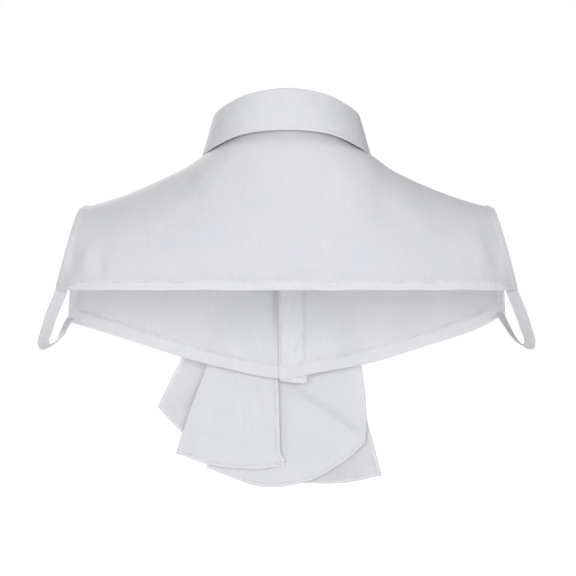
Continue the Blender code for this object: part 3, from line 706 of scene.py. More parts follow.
def backGrid():
    edge = 1.0 - 0.45 * 10.0 / 135.0  # finer columns past it, on the side hems
    share = spaced((-1.0, -edge, 12), (-edge, edge, 150), (edge, 1.0, 12))
    part = np.abs(share) / back["neckColumnShare"]
    onNeck = part <= 1.0
    tip = np.where(onNeck, 0.0, (np.abs(share) - back["neckColumnShare"]) / (1.0 - back["neckColumnShare"]))
    neckSide = figure["neckSide"] + neckClear
    ringX, ringY = ringPoint(90.0 * np.clip(part, 0.0, 1.0), neckSide, behind["neckDepth"] + neckClear, 0.0)
    topX = np.where(onNeck, ringX, neckSide + (figure["shoulderTip"] - neckSide) * tip)
    topY = np.where(onNeck, np.maximum(ringY, 0.02), 0.02)
    neckShare = back["neckHemShare"]
    hemX = back["hemCorner"] * np.where(onNeck, neckShare * part, neckShare + (1.0 - neckShare) * tip)
    way = np.sign(share)
    down = spaced((0.0, 0.93, 52), (0.93, 1.0, 12))
    hemTurns = np.full_like(share, math.pi / 2.0)
    return hangCloth(topX * way, turnAt(topX, topY, behind), hemX * way, hemTurns, tip, down, behind)


def turnedHems(values, hemWidth, sideWidth, fromHem, fromSide):
    # a hem below and one at each side: where their stitches run, how much painted light their layers add to
    # the cloth's colour, and how thick they make the cloth, outside and inside
    hem, sideHem = hemProfile(fromHem, hemWidth), hemProfile(fromSide, sideWidth)
    hemLine, sideLine = hemWidth - values["stitchInset"][0], values["sideHemWidth"] - values["stitchInset"][1]
    cut = cloth["grooveDepth"] * (groove(fromHem, hemLine) + groove(fromSide, sideLine))
    thicker = np.maximum(hem, sideHem) * cloth["hemLayer"]
    outer, inner = (thicker * layers - cut * dip for layers, dip in zip(values["hemThick"], values["dips"]))
    paintedLayerLight = np.maximum(hem * values["hemLightShare"][0], sideHem * values["hemLightShare"][1])
    return hemLine, sideLine, (paintedLayerLight, outer, inner)


def makeBack():
    points = backGrid()
    fromTop, fromHem = runsAlong(points, 1)
    fromRight, fromLeft = runsAlong(points, 0)
    fromSide = np.minimum(fromRight, fromLeft)
    x, z = points[..., 0], points[..., 2]
    hemWidth = back["hemWidth"] + back["uneven"][0] * wobble(x / 16.0, 2.0)
    hemWidth = hemWidth * (0.4 + 0.6 * eased((fromSide - 4.0) / 34.0))
    sideWidth = back["sideHemWidth"] + back["uneven"][1] * wobble(z / 9.0, 5.0)
    hemLine, sideLine, layers = turnedHems(back, hemWidth, sideWidth, fromHem, fromSide)
    loose = creaseDepth(x, z, back["creases"])
    loose += back["waves"] * wobble(x / 40.0 + z / 66.0, 1.0) * eased(fromHem / 30.0) * eased(fromSide / 25.0)
    pucker = bell((fromHem - hemWidth) / 4.5) * back["puckers"][0] * wobble(x / 6.5, 3.0)
    pucker += bell((fromSide - back["sideHemWidth"]) / 5.0) * back["puckers"][1] * wobble(z / 6.0, 4.0)
    lift = eased(fromTop / 12.0)  # nothing moves at the seams
    points = points + outwardNormals(points) * ((loose * eased(fromHem / 14.0) + pucker) * lift)[..., None]
    points[..., 2] += 0.45 * wobble(x / 22.0, 6.0) * eased(1.0 - fromHem / 10.0)
    seams = (("hem", fromHem, hemLine), ("side", fromLeft, sideLine), ("side", fromRight, sideLine))
    look = {"material": "poplin", "drawn": ("hem",)}
    makeSheet("backPanel", "back_panel", points, outwardNormals(points), back, seams, *layers, **look)


makeBack()
print("back panel")

# Fronts, with the outer strip on the left one and the inner facing on the right one

fronts = {
    "corner": 199.5,
    "hemRows": (  # x, z
        (-30, -199.5), (0, -202), (35, -199.5), (75, -188.6), (126, -172), (174, -156), (199.5, -147.5),
    ),
    "neckHemShare": 0.52,
    "lapEdge": 19.0,  # the left front's edge, past the middle on the wearer's right
    "underEdge": 7.2,  # the right front's edge, past the middle on the wearer's left
    "facingEdge": 17.0,
    "lap": 1.3,  # how far the left front lies out, and the right one in
    "lapReach": 12.0,
    "lapRun": 40.0,
    "gape": 2.4,  # how far the right front falls back low down, and where
    "gapeReach": 18.0,
    "gapeRun": 22.0,
    "gapeTop": -122.0,
    "gapeEnd": -172.0,
    "hemWidth": 12.8,
    "sideHemWidth": 11.6,
    "stitchInset": (1.4, 1.4),
    # painted light on the hems' two layers
    "hemLightShare": (0.45, 0.45),
    "hemThick": (0.4, 2.2),
    "dips": (1.0, 0.6),
    "uneven": (0.7, 0.3),
    "waves": 0.6,  # mm
    "puckers": (0.55, 0.34),  # mm
    "dipEnd": -176.0,
    "leftRise": ((44.0, 26.0, 2.3),),  # where a hem is drawn up: x, how wide, how high
    "rightRise": ((36.0, 30.0, 4.4), (204.0, 20.0, 7.0)),  # the second one by the elastic
    "stripSteps": 16,  # columns of the grid under a strip
    "stripStep": 0.75,  # from one layer's middle to the next one's
    "flouncesBehind": (-66.0, 72.0),  # x, from the right to the left
    # painted light where the jabot hangs behind
    "flounceLightShare": 0.6,
}
frontLeft = {
    "flat": (300.0, 250.0),
    "held": "hung",
    "dip": (9.6, 2.3, 2.4),  # beside the other front's free edge: x, width and depth
    "creases": (
        ((60, -128), (50, -182), 10, -2.8, 1, 0.4), ((86, -112), (84, -176), 7, 1.9, 1, 0.4),
        ((112, -92), (122, -160), 9, -2.2, 1, 0.4), ((22, -70), (34, -186), 8, 1.5, 1, 0.4),
        ((146, -80), (158, -150), 7, 0.9, 1, 0.5), ((70, -14), (100, -90), 9, -1.2, 1.8),
        ((56, -20), (48, -110), 8, 0.8, 1.6),
    ),
}
frontRight = {
    "flat": (290.0, 250.0),
    "held": "hung",
    "dip": (22.0, 3.0, 0.5),
    "creases": (
        ((-66, -118), (-62, -184), 9, -2.7, 1, 0.4), ((-94, -108), (-104, -168), 7, 1.9, 1, 0.4),
        ((-132, -88), (-136, -156), 9, -2, 1, 0.4), ((-36, -76), (-44, -186), 8, 1.4, 1, 0.4),
        ((-160, -78), (-168, -146), 6, 0.8, 1, 0.5), ((-72, -12), (-108, -84), 9, -1.1, 1.8),
        ((-54, -24), (-50, -108), 8, 0.8, 1.6),
    ),
}
placket = {  # the strip's stitches run this far from its edges, and its tail hangs past the hem
    "flat": (26.5, 188.0),
    "held": "hung",
    "edges": (4.0, 4.0),
    "tail": (5.9, 2.2),
}
facing = {"flat": (25.0, 182.0), "held": "hung", "edges": (1.6, 1.8), "short": 12}  # rows that the hem covers


def hemTurn(x, rises):
    level = readRows(fronts["hemRows"], x)[0]
    for place, spread, height in rises:
        level = level + height * bell((x - place) / spread) * eased((x + 10.0) / 24.0)
    return np.arccos((level - before["base"]) / (shoulderHeight(x) - before["base"]))


def frontGrid(edge, stripEnd, rises):
    # one front as if on the wearer's left
    clearSide, clearFront = figure["neckSide"] + neckClear, before["neckDepth"] + neckClear
    strip = edge + (stripEnd - edge) * np.linspace(0.0, 1.0, fronts["stripSteps"], endpoint=False)
    start = math.asin(stripEnd / clearSide)
    part = np.linspace(0.0, 1.0, 52, endpoint=False)
    tipPart = spaced((0.0, 0.92, 46), (0.92, 1.0, 10))
    neckTurns = start + (math.pi / 2.0 - start) * part
    angle = np.concatenate([np.arcsin(strip / clearSide), neckTurns, np.full_like(tipPart, math.pi / 2.0)])
    share, corner = fronts["neckHemShare"], fronts["corner"]
    neckHem = stripEnd + (corner * share - stripEnd) * part
    hemX = np.concatenate([strip, neckHem, corner * (share + (1.0 - share) * tipPart)])
    tip = np.concatenate([np.zeros(len(strip) + len(part)), tipPart])
    topX = clearSide * np.sin(angle) + (figure["shoulderTip"] - clearSide) * tip
    topY = np.minimum(-clearFront * np.cos(angle), -0.02)
    down = spaced((0.0, 0.93, 60), (0.93, 1.0, 16))
    return hangCloth(topX, turnAt(topX, topY, before), hemX, hemTurn(hemX, rises), tip, down, before)


def lapDistance(x):
    return fronts["lap"] * (1.0 - eased((x - fronts["lapReach"]) / fronts["lapRun"]))


def gapeDistance(x, z):
    nearEdge = eased((fronts["gapeReach"] - x) / fronts["gapeRun"])
    end = fronts["gapeEnd"]
    return fronts["gape"] * nearEdge * eased((z - end) / (fronts["gapeTop"] - end))


def flouncesBehind(x):
    # painted light: thin cloth is painted lighter where the jabot hangs behind it, for the light the jabot
    # throws back
    right, left = fronts["flouncesBehind"]
    return fronts["flounceLightShare"] * eased((x - right) / 30.0) * eased((left - x) / 30.0)


def makeFront(name, node, values, seed, points):
    fromTop, fromHem = runsAlong(points, 1)
    fromEdge, fromArmhole = runsAlong(points, 0)
    x, z = points[..., 0], points[..., 2]
    hemWidth = fronts["hemWidth"] + fronts["uneven"][0] * wobble(x / 19.0, seed)
    sideWidth = fronts["sideHemWidth"] + fronts["uneven"][1] * wobble(z / 9.0, seed + 1.0)
    hemLine, sideLine, (paintedLayerLight, *thick) = turnedHems(fronts, hemWidth, sideWidth, fromHem, fromArmhole)
    away = eased((fromEdge - 24.0) / 26.0)
    waves = fronts["waves"] * wobble(x / 40.0 + z / 80.0, seed + 2.0)
    loose = (creaseDepth(x, z, values["creases"]) + waves) * away
    loose *= eased(fromHem / 16.0) * eased(fromTop / 14.0) * eased(fromArmhole / 12.0)
    pucker = bell((fromHem - hemWidth) / 4.0) * fronts["puckers"][0] * wobble(x / 6.0, seed + 3.0)
    pucker += bell((fromArmhole - 7.0) / 5.0) * fronts["puckers"][1] * wobble(z / 6.0, seed + 4.0)
    pucker *= eased(fromTop / 14.0) * eased((fromEdge - 6.0) / 10.0)
    place, width, depth = values["dip"]
    beside = depth * bell((np.abs(x) - place) / width) * eased((z - fronts["dipEnd"]) / 50.0)
    beside = beside * eased(fromTop / 60.0)
    points = points + outwardNormals(points) * (loose + pucker + beside)[..., None]
    normal = outwardNormals(points)
    seams = (("hem", fromHem, hemLine), ("side", fromArmhole, sideLine))
    # painted light: the front is painted lighter where the jabot hangs behind it
    paintedLayerLight = np.maximum(paintedLayerLight, flouncesBehind(points[..., 0]))
    makeSheet(name, node, points, normal, values, seams, paintedLayerLight, *thick, material="poplin")
    return points, normal


def makeStrip(name, node, points, normal, offset, values):
    # a folded strip laid on a front's edge, sewn near both of its sides
    count = fronts["stripSteps"] + 1
    up = normal[:count]
    strip = points[:count] + up * offset
    if "tail" in values:
        drop = np.linspace(0.0, 1.0, 7)[1:][None, :] * np.linspace(*values["tail"], count)[:, None]
        lower = strip[:, -1:] - np.array((0.0, 0.0, 1.0)) * drop[..., None]
        strip = np.concatenate([strip, lower], axis=1)
        up = np.concatenate([up, np.repeat(up[:, -1:], drop.shape[1], axis=1)], axis=1)
    if "short" in values:
        strip, up = strip[:, : -values["short"]], up[:, : -values["short"]]
    seams = [("side", away, at) for away, at in zip(runsAlong(strip, 0), values["edges"])]
    cut = cloth["grooveDepth"] * sum(groove(away, at) for _, away, at in seams)
    # painted light: the strip is painted lighter as layered cloth
    makeSheet(name, node, strip, up, values, seams, cloth["layersLightShare"], -cut, -cut * 0.3)


def makeFronts():
    grid = frontGrid(-fronts["lapEdge"], fronts["underEdge"], fronts["leftRise"])
    grid = grid + outwardNormals(grid) * lapDistance(grid[..., 0])[..., None]
    points, normal = makeFront("frontLeft", "front_left", frontLeft, 11.0, grid)
    makeStrip("placketStrip", "placket_left", points, normal, fronts["stripStep"], placket)
    grid = frontGrid(-fronts["underEdge"], fronts["facingEdge"], fronts["rightRise"])
    inward = lapDistance(grid[..., 0]) + gapeDistance(grid[..., 0], grid[..., 2])
    grid = (grid - outwardNormals(grid) * inward[..., None]) * np.array((-1.0, 1.0, 1.0))
    points, normal = makeFront("frontRight", "front_right", frontRight, 23.0, grid)
    makeStrip("facingStrip", "facing_right", points, normal, -fronts["stripStep"], facing)


makeFronts()
print("fronts, placket strip and facing")

# Collar: the stand round the neck, and the fall that turns over it

stand = {
    "ring": (61.0, 60.0, 60.0),  # its top edge, to the side, the back and the front
    "leftEnd": 198.0,  # azimuths
    "rightEnd": 188.0,
    "wall": 1.25,
    "tuck": 0.6,
    "lapLift": 1.8,
    "lap": 1.3,
    "foldRise": 3.5,
    "cadClear": 1.8,
    "seamLine": 2.2,
    "flat": (408.0, 36.0),
    "held": "hung",
}
fall = {
    "end": 174.5,
    "roll": 2.2,
    "rise": 1.5,
    "startRise": 0.8,
    "belly": 1.6,
    "wall": 0.95,  # two layers and a light interlining
    # painted light: how much lighter its layers are painted
    "white": 0.45,
    "edgeStitch": 3.6,
    "edgeThick": 0.16,
    "waves": 0.35,  # mm
    "foldRows": 14,
    "flat": (440.0, 76.0),
    "held": "folded",
    "rows": (  # azimuth, then its edge: x, y, how far over the chest, z behind the shoulders
        (-30, -37, 63, 0, 18.3), (0, 0, 72.5, 0, 21.3), (30, 37, 63, 0, 18.3), (60, 64.2, 36.6, 0, 8),
        (90, 76, 2, 1.9, -0.6), (115, 72, -27, 2, -8), (140, 63, -52, 2.2, -26), (160, 54, -71, 2.6, -45),
        (174.5, 46, -85, 3, -60),
    ),
}


def panelHeight(x, y):
    heights = [figurePoint(x, turnAt(x, y, side), side)[..., 2] for side in (behind, before)]
    return np.where(y > 0.0, heights[0], heights[1])


def standShift(azimuth):
    return stand["lap"] * eased((np.abs(azimuth) - 148.0) / 22.0) * np.where(azimuth > 0.0, 1.0, -1.0)


def standEdges(azimuth):
    # the stand's lower and top edges, the way out, and their heights
    clear, turned = stand["cadClear"], np.minimum(np.abs(azimuth), 360.0 - np.abs(azimuth))
    edge = ringPoint(azimuth, *(reach + clear for reach in neckRing))
    lowZ = panelHeight(*edge) - stand["tuck"] + stand["lapLift"] * eased((turned - 140.0) / 25.0)
    topZ = collarHeight(azimuth, "fold") - stand["foldRise"]
    low, top = (np.stack(ringPoint(azimuth, *ring), axis=-1) for ring in (neckRing, stand["ring"]))
    return low, top, np.stack(ringOutward(azimuth, *stand["ring"]), axis=-1), lowZ, topZ


def standGrid():
    azimuth = np.linspace(-stand["rightEnd"], stand["leftEnd"], 230)
    low, top, out, lowZ, topZ = standEdges(azimuth)
    share = np.linspace(0.0, 1.0, 15)[None, :]
    shifted = out * standShift(azimuth)[:, None]
    plan = low[:, None] + (top - low)[:, None] * share[..., None] + shifted[:, None]
    z = lowZ[:, None] + (topZ - lowZ)[:, None] * share
    return np.concatenate([plan, z[..., None]], axis=-1)


def fallGrid():
    azimuth = np.linspace(-fall["end"], fall["end"], 210)
    turned = np.abs(azimuth)
    x, y = ringPoint(azimuth, *stand["ring"])
    outX, outY = ringOutward(azimuth, *stand["ring"])
    shift = standShift(azimuth)
    startZ = collarHeight(azimuth, "fold") - stand["foldRise"] + fall["startRise"]
    lines = []
    for degrees in np.linspace(180.0, 5.0, fall["foldRows"]):
        angle = math.radians(degrees)
        out = fall["roll"] * (1.0 + math.cos(angle)) + shift + 0.5 * math.cos(angle / 2.0)
        z = startZ + fall["rise"] * math.sin(angle)
        lines.append(np.stack([x + outX * out, y + outY * out, z], axis=-1))
    edgeX, edgeY, over, low = readRows(fall["rows"], turned)
    edgeX = edgeX * np.where(azimuth >= 0.0, 1.0, -1.0)
    laid = figurePoint(edgeX, turnAt(edgeX, edgeY, before), before)[..., 2] + over
    start, end = lines[-1], np.stack([edgeX, edgeY, np.where(turned > 90.0, laid, low)], axis=-1)
    rounding = fall["belly"] * (1.0 - 0.9 * np.abs(np.sin(np.radians(azimuth))) ** 3)
    belly = np.stack([outX, outY, 0.0 * outX], axis=-1) * rounding[:, None]
    for share in spaced((0.0, 0.86, 18), (0.86, 1.0, 6))[1:]:
        lines.append(start + (end - start) * share + belly * math.sin(math.pi * share))
    return np.stack(lines, axis=1)


def makeStand():
    points = standGrid()
    low = runsAlong(points, 1)[0]
    cut = cloth["grooveDepth"] * groove(low, stand["seamLine"])
    # painted light: the stand is painted lighter as layered cloth
    seams, layers = (("hem", low, stand["seamLine"]),), (cloth["layersLightShare"], -cut, -cut)
    look = {"wall": stand["wall"], "stitch": fineStitch}
    makeSheet("collarStand", "collar_stand", points, outwardNormals(points), stand, seams, *layers, **look)


def makeFall():
    points = fallGrid()
    normal = normalsOf(points)
    normal = normal * np.sign(np.sum(normal[:, -3, :2] * points[:, -3, :2]))
    fromEdge = runsAlong(points, 1)[1]
    fromRight, fromLeft = runsAlong(points, 0)
    free = eased(fromEdge / 8.0) * eased((38.0 - fromEdge) / 12.0)
    points = points + normal * (fall["waves"] * wobble(points[..., 0] / 34.0, 31.0) * free)[..., None]
    turnedEdge = fall["edgeThick"] * (1.0 - eased((fromEdge - 2.4) / 1.6))
    at, first = fall["edgeStitch"], fall["foldRows"]
    lines = groove(fromEdge, at) + groove(fromRight, at) + groove(fromLeft, at)
    seams = (("hem", fromEdge, at), ("side", fromRight, at, first), ("side", fromLeft, at, first))
    cut = cloth["grooveDepth"] * 0.8 * np.clip(lines, 0.0, 1.0)
    layers = (fall["white"], turnedEdge - cut, turnedEdge * 0.5)
    look = {"wall": fall["wall"], "drawn": (), "sewnFaces": 1, "stitch": fineStitch}
    makeSheet("collarFall", "collar_fall", points, normal, fall, seams, *layers, **look)


makeStand()
makeFall()
print("collar")

# Jabot: three flounces gathered under one band

jabot = {
    "top": -60.0,
    "level": -190.0,  # the height that the tables' first and third columns are for
    "offTop": 6.3,  # from the chest to the jabot's middle line, at its top and lower down
    "offLow": 10.4,
    "offRun": 40.0,
    "hemWidth": 4.2,
    "stitchInset": 0.7,
    "hemThick": 0.8,
    # painted light on the rolled hems' layers
    "hemLightShare": 0.8,
    "wall": 0.5,
    "gatherPleats": 3.2,  # small pleats for each row of the table
    "gatherDepth": 0.7,
    "gatherRun": 46.0,
    "curl": 2.2,  # how far each hem turns out
    "curlRun": 26.0,
    "waves": 0.45,  # mm
    "puckers": (0.28, 0.24),  # mm
    "sideStart": 16,  # the row of the grid where the side hems' stitches begin, under the band
}
# A flounce's top runs from its first x to its second one, that far out. Rows are its folds from one side to
# the other: x and x of the hem, how far out and how far out of the hem, and z of the hem.
flounces = {
    "jabotUnderLeft": {
        "node": "jabot_under_left",
        "paintedBackLight": 0.95,  # painted light: how much lighter it is painted for the cloth behind it
        "top": (15.0, 1.0),
        "out": -2.4,
        "gather": 0.8,
        "hookDepth": 3.9,
        "flat": (120.0, 232.0),
        "held": "gathered",
        "seed": 41.0,
        "rows": (
            (8.8, 6, 0, 0, -285.3), (19, 25, 0, -0.6, -288.3), (36, 50, -0.6, -1.2, -287.4),
            (53, 74, -0.4, -1, -284.2), (67, 92, 0, 0.2, -278.2), (74.8, 104.6, 1.3, 1.7, -273.6),
            (68, 95, 2.7, 3.3, -274.6), (59, 84, 3, 3.6, -277),
        ),
        "creases": (
            ((24, -196), (15, -270), 4.5, 1.9, 1, 0.4), ((44, -200), (48, -292), 8, -2.1, 1, 0.4),
            ((62, -200), (80, -290), 8, 1.8, 1, 0.4),
        ),
    },
    "jabotUnderRight": {
        "node": "jabot_under_right",
        "paintedBackLight": 0.95,
        "top": (15.0, -15.0),
        "out": 0.0,
        "gather": 0.8,
        "hookDepth": 0.0,
        "flat": (150.0, 250.0),
        "held": "gathered",
        "seed": 47.0,
        "rows": (
            (48, 76.4, 5.2, 6.2, -287.6), (33, 55, 5.6, 6.8, -296), (16, 27, 5.8, 7.4, -305.4),
            (-4, -3, 5.6, 6.8, -304.8), (-24, -29, 5.4, 6, -296.8), (-45, -54, 5, 5.4, -281.6),
            (-61.5, -69.6, 5, 5.8, -269), (-68, -74, 5.2, 6.2, -263.6), (-70.5, -75.4, 5.6, 6.6, -256),
        ),
        "creases": (
            ((5, -206), (-78, -261), 1.9, -2.2, 1, 0.2), ((0, -202.5), (-76, -252), 3.4, 2, 1.6, 0.3),
            ((-8, -212), (-84, -264), 6, -3.4, 2, 0.5), ((0, -226), (-58, -276), 9, 2, 1, 0.5),
            ((-40, -196), (-60, -240), 7, 1.2, 1, 0.5),
        ),
    },
    "jabotFront": {
        "node": "jabot_front",
        "paintedBackLight": 0.05,
        "top": (15.0, -15.0),
        "out": 2.4,
        "gather": 2.2,
        "hookDepth": 0.0,
        "flat": (420.0, 250.0),
        "held": "gathered",
        "seed": 53.0,
        "rows": (
            (102.6, 122.4, 11, 12, -230.5), (84, 100, 12, 13, -253.6), (60, 76, 13, 16, -272),
            (74, 95, 19, 24, -260), (42, 52, 23, 28, -280), (54, 75, 29, 36, -271), (22, 27, 32, 39, -287),
            (33, 48, 38, 46, -282), (4, 8, 41, 50, -296), (-16, -20, 40, 48, -298),
            (-34, -48, 35, 43, -293), (-14, -20, 30, 36, -299), (-46, -66, 24, 29, -293),
            (-10, -9, 14, 18, -301.6), (-38, -52, 12, 13, -303), (-60, -90.6, 11, 12, -295.6),
        ),
        "creases": (
            ((3, -78), (9, -292), 8, 1.6, 1, 0.4), ((-8, -84), (-27, -290), 7, -1.4, 1, 0.4),
            ((13, -92), (40, -280), 6.5, 1.3, 1, 0.4), ((-17, -100), (-62, -284), 7.5, 1.5, 1, 0.4),
            ((24, -112), (74, -264), 6, -1.2, 1, 0.4),
        ),
    },
}


def hangingLine():
    # the line behind the jabot: over the chest, then straight down
    turns = np.radians(np.linspace(89.0, 20.0, 139))
    chest = figurePoint(np.zeros_like(turns), turns, before)
    heights, depths = chest[:, 2], chest[:, 1]
    slopes = np.gradient(depths, heights)
    share = eased((jabot["top"] - heights) / jabot["offRun"])
    off = jabot["offTop"] + (jabot["offLow"] - jabot["offTop"]) * share
    lean = np.sqrt(1.0 + slopes * slopes)
    heights, depths = heights + off * slopes / lean, depths - off / lean
    return heights, depths, np.gradient(depths, heights)


def flounceGrid(values):
    heights, depths, slopes = hangingLine()
    last = len(values["rows"]) - 1.0
    at = spaced((0.0, 0.3, 7), (0.3, last - 0.3, int(15 * last)), (last - 0.3, last, 7))[:, None]
    share = spaced((0.0, 0.2, 18), (0.2, 0.95, 44), (0.95, 1.0, 12))[None, :]
    levelX, hemX, levelOut, hemOut, hemZ = readRows(values["rows"], at, keyed=False)
    topX = values["top"][0] + (values["top"][1] - values["top"][0]) * at / last
    topOut = values["out"] + values["gather"] * (1.0 - np.cos(math.pi * at)) / 2.0
    level = (jabot["top"] - jabot["level"]) / (jabot["top"] - hemZ)
    parts = (
        (share - level) * (share - 1.0) / level,
        share * (share - 1.0) / (level * (level - 1.0)),
        share * (share - level) / (1.0 - level),
    )
    x = parts[0] * topX + parts[1] * levelX + parts[2] * hemX
    off = parts[0] * topOut + parts[1] * levelOut + parts[2] * hemOut
    z = jabot["top"] + (hemZ - jabot["top"]) * share
    fallen = jabot["top"] - z
    pleats = jabot["gatherDepth"] * np.cos(2.0 * math.pi * jabot["gatherPleats"] * at)
    off = off + pleats * (1.0 - eased(fallen / jabot["gatherRun"]))
    hook = (1.0 - eased(at / 0.5)) * eased((fallen - (jabot["top"] - hemZ) + 12.0) / 6.0)
    slope = np.interp(z, heights, slopes)
    lean = np.sqrt(1.0 + slope * slope)
    y = np.interp(z, heights, depths) - off / lean
    return np.stack([x - values["hookDepth"] * hook, y, z + off * slope / lean], axis=-1)


def makeFlounce(name, values):
    points = flounceGrid(values)
    normal = normalsOf(points)
    normal = normal * -np.sign(np.sum(normal[..., 1]))
    fromTop, fromHem = runsAlong(points, 1)
    fromStart, fromEnd = runsAlong(points, 0)
    fromSide = np.minimum(fromStart, fromEnd)
    x, z = points[..., 0], points[..., 2]
    nearest = np.minimum(fromHem, fromSide)
    rolled = hemProfile(nearest, jabot["hemWidth"])
    free = eased(fromTop / 50.0)
    loose = creaseDepth(x, z, values["creases"]) * eased(fromSide / 8.0)
    waves = jabot["waves"] * wobble(fromStart / 26.0 + z / 55.0, values["seed"])
    loose += waves * free * eased(nearest / 12.0)
    pucker = jabot["puckers"][0] * wobble(fromStart / 5.5, values["seed"] + 1.0) * bell(fromHem / 9.0)
    pucker += jabot["puckers"][1] * wobble(z / 5.5, values["seed"] + 2.0) * bell(fromSide / 8.0)
    points = points + normal * (loose + pucker * free)[..., None]
    points[..., 1] -= jabot["curl"] * (1.0 - np.clip(fromHem / jabot["curlRun"], 0.0, 1.0)) ** 2
    normal = normalsOf(points)
    normal = normal * -np.sign(np.sum(normal[..., 1]))
    at = jabot["hemWidth"] - jabot["stitchInset"]
    thick = rolled * cloth["hemLayer"] * jabot["hemThick"]
    thick = thick - cloth["grooveDepth"] * (groove(fromHem, at) + groove(fromSide, at))
    first = jabot["sideStart"]
    seams = (("hem", fromHem, at), ("side", fromStart, at, first), ("side", fromEnd, at, first))
    # painted light where cloth lies behind the flounce and on its rolled hems
    layers = (np.maximum(rolled * jabot["hemLightShare"], values["paintedBackLight"]), thick, thick)
    makeSheet(name, values["node"], points, normal, values, seams, *layers, wall=jabot["wall"])


for flounceName, flounceValues in flounces.items():
    makeFlounce(flounceName, flounceValues)
print("jabot flounces")

band = {
    "middle": -1.0,
    "half": 17.5,
    "top": -51.0,
    "low": -62.4,
    "out": 6.6,
    "thick": 2.3,
    "edge": 1.0,
    # painted light: how much lighter its layers are painted
    "white": 0.4,
    "stitchLines": (0.2, 0.82),  # shares of its height
    "stitchDip": 0.35,  # mm
    "pull": 0.22,  # mm, by the gathers under it
    "flat": (35.2, 12.6),
    "held": "stretched",
}


def frontSurface(x, z, out):
    # a place on the chest at a height, moved straight out of it, and that direction
    x = np.asarray(x, float)
    low, high = np.full_like(x, math.radians(20.0)), np.full_like(x, math.pi / 2.0)
    for _ in range(40):
        middle = (low + high) / 2.0
        above = figurePoint(x, middle, before)[..., 2] > z
        low, high = np.where(above, middle, low), np.where(above, high, middle)
    here = figurePoint(x, low, before)
    run = unit(here - figurePoint(x, low - 0.02, before))
    normal = np.stack([0.0 * x, run[..., 2], -run[..., 1]], axis=-1)
    return here + normal * out, normal


def makeBand():
    across = np.linspace(-1.0, 1.0, 90)[:, None]
    share = np.linspace(0.0, 1.0, 16)[None, :]
    x = band["middle"] + band["half"] * across + 0.0 * share
    z = band["top"] + (band["low"] - band["top"]) * share + 0.0 * across
    points, normal = frontSurface(x, z, band["out"])
    plump = (np.sin(math.pi * share) ** 0.5) * (1.0 - np.abs(across) ** 6) ** 0.5
    pulled = band["pull"] * np.cos(across * 40.0) * (share - 0.2)
    lift = band["edge"] + (band["thick"] - band["edge"]) * plump + pulled
    cut = band["stitchDip"] * sum(bell((share - at) / 0.06) for at in band["stitchLines"])
    away = runsAlong(points, 1)[0]
    seams = [("hem", away, at * float(away[:, -1].mean())) for at in band["stitchLines"]]
    layers = (band["white"], lift - cut, lift * 0.9)
    makeSheet("jabotBand", "jabot_band", points, normal, band, seams, *layers, sewnFaces=1, stitch=fineStitch)


makeBand()
print("jabot band")

# Elastic loops under the arms

loops = {
    "width": 9.6,
    "wall": 0.9,
    "ribs": 8,
    "ribHeight": 0.07,
    "flat": (10.0, 128.0),
    "held": "hung",
    "left": (  # x, y, z, and the twist about its own length
        (198, 34.6, -112, 0), (199.8, 33.8, -119, 0), (202.8, 33, -126.8, 0), (207, 31, -136, -3),
        (210.8, 28, -146, -6), (213.9, 24, -155, -9), (217.2, 17, -163.4, -14), (216.8, 7, -169.4, -22),
        (212.8, -7, -168.8, -34), (209.2, -18, -165.4, -42), (205.8, -27, -161, -45),
        (203.2, -33.5, -155.2, -45), (200.8, -38, -149.6, -42), (197.4, -41.6, -144.2, -34),
    ),
    "right": (  # as if on the left
        (198, 34.6, -112, 0), (199.8, 33.8, -119, 0), (202.6, 33, -126.2, 0), (206.4, 31, -135, -3),
        (210.2, 28, -144.4, -6), (213.4, 24, -153.4, -9), (217, 17, -162.6, -14), (217.2, 7, -169.2, -22),
        (213, -7, -168.6, -34), (208.8, -18, -164.8, -42), (205.2, -27, -159.8, -45),
        (202, -33.5, -153.6, -45), (198.6, -38, -147, -42), (194.6, -41.6, -139.4, -34),
    ),
}


def makeLoop(name, node, table, way):
    at = np.linspace(0.0, len(table) - 1.0, 170)
    *middle, turn = readRows(table, at, keyed=False)
    middle = np.stack(middle, axis=-1) * np.array((way, 1.0, 1.0))
    run = unit(np.gradient(middle, axis=0))
    wide = unit(np.array((1.0, 0.0, 0.0)) - run * run[:, :1])
    twist = np.radians(turn)[:, None] * way
    wide = wide * np.cos(twist) + np.cross(run, wide) * np.sin(twist)
    share = np.linspace(-0.5, 0.5, 49)[:, None]
    points = middle[None] + wide[None] * (share * loops["width"])[..., None]
    ribs = loops["ribHeight"] * (np.abs(np.cos(share * math.pi * loops["ribs"])) - 0.5)
    look = {"wall": loops["wall"], "material": "elastic"}
    makeSheet(name, node, points, normalsOf(points), loops, out=ribs, into=ribs, **look)


makeLoop("elasticLoopLeft", "elastic_loop_left", loops["left"], 1.0)
makeLoop("elasticLoopRight", "elastic_loop_right", loops["right"], -1.0)
print("elastic loops")

# Buttons: four holes, thread crossed through them, a buttonhole under each

buttons = {
    "x": -6.5,
    "heights": (-105.0, -176.0),
    "standHeight": -32.0,
    "off": 3.4,  # from the chest, over the layers
    "holeOff": 2.38,
    "innerOff": 2.35,  # to the thread on the inner strip
    "standOff": 1.2,  # from the stand's middle
    "standHoleOff": 0.675,
    "radius": 5.0,
    "thick": 2.2,
    "steps": 64,
    "holeRadius": 0.75,
    "holeSpread": 1.35,
    "profile": (  # shares of the radius and of the thickness
        (0.0, 0.0), (0.8, 0.0), (0.93, 0.1), (0.99, 0.32), (1.0, 0.55), (0.985, 0.8), (0.93, 0.96),
        (0.86, 1.0), (0.78, 0.97), (0.70, 0.85), (0.62, 0.74), (0.5, 0.69), (0.0, 0.66),
    ),
    "threadRadius": 0.15,
    "threadStep": 0.22,
    "threadRise": (0.34, 0.95, 0.18),  # over the bridge, down into the holes, one pair over the other
    "slit": 12.5,  # length of a buttonhole
    "satinReach": (0.1, 1.5),  # from the slit, both ways
    "satinPitch": 0.42,
}
satinStitch = {"pitch": 0.2, "length": 1.2, "thick": 0.3}


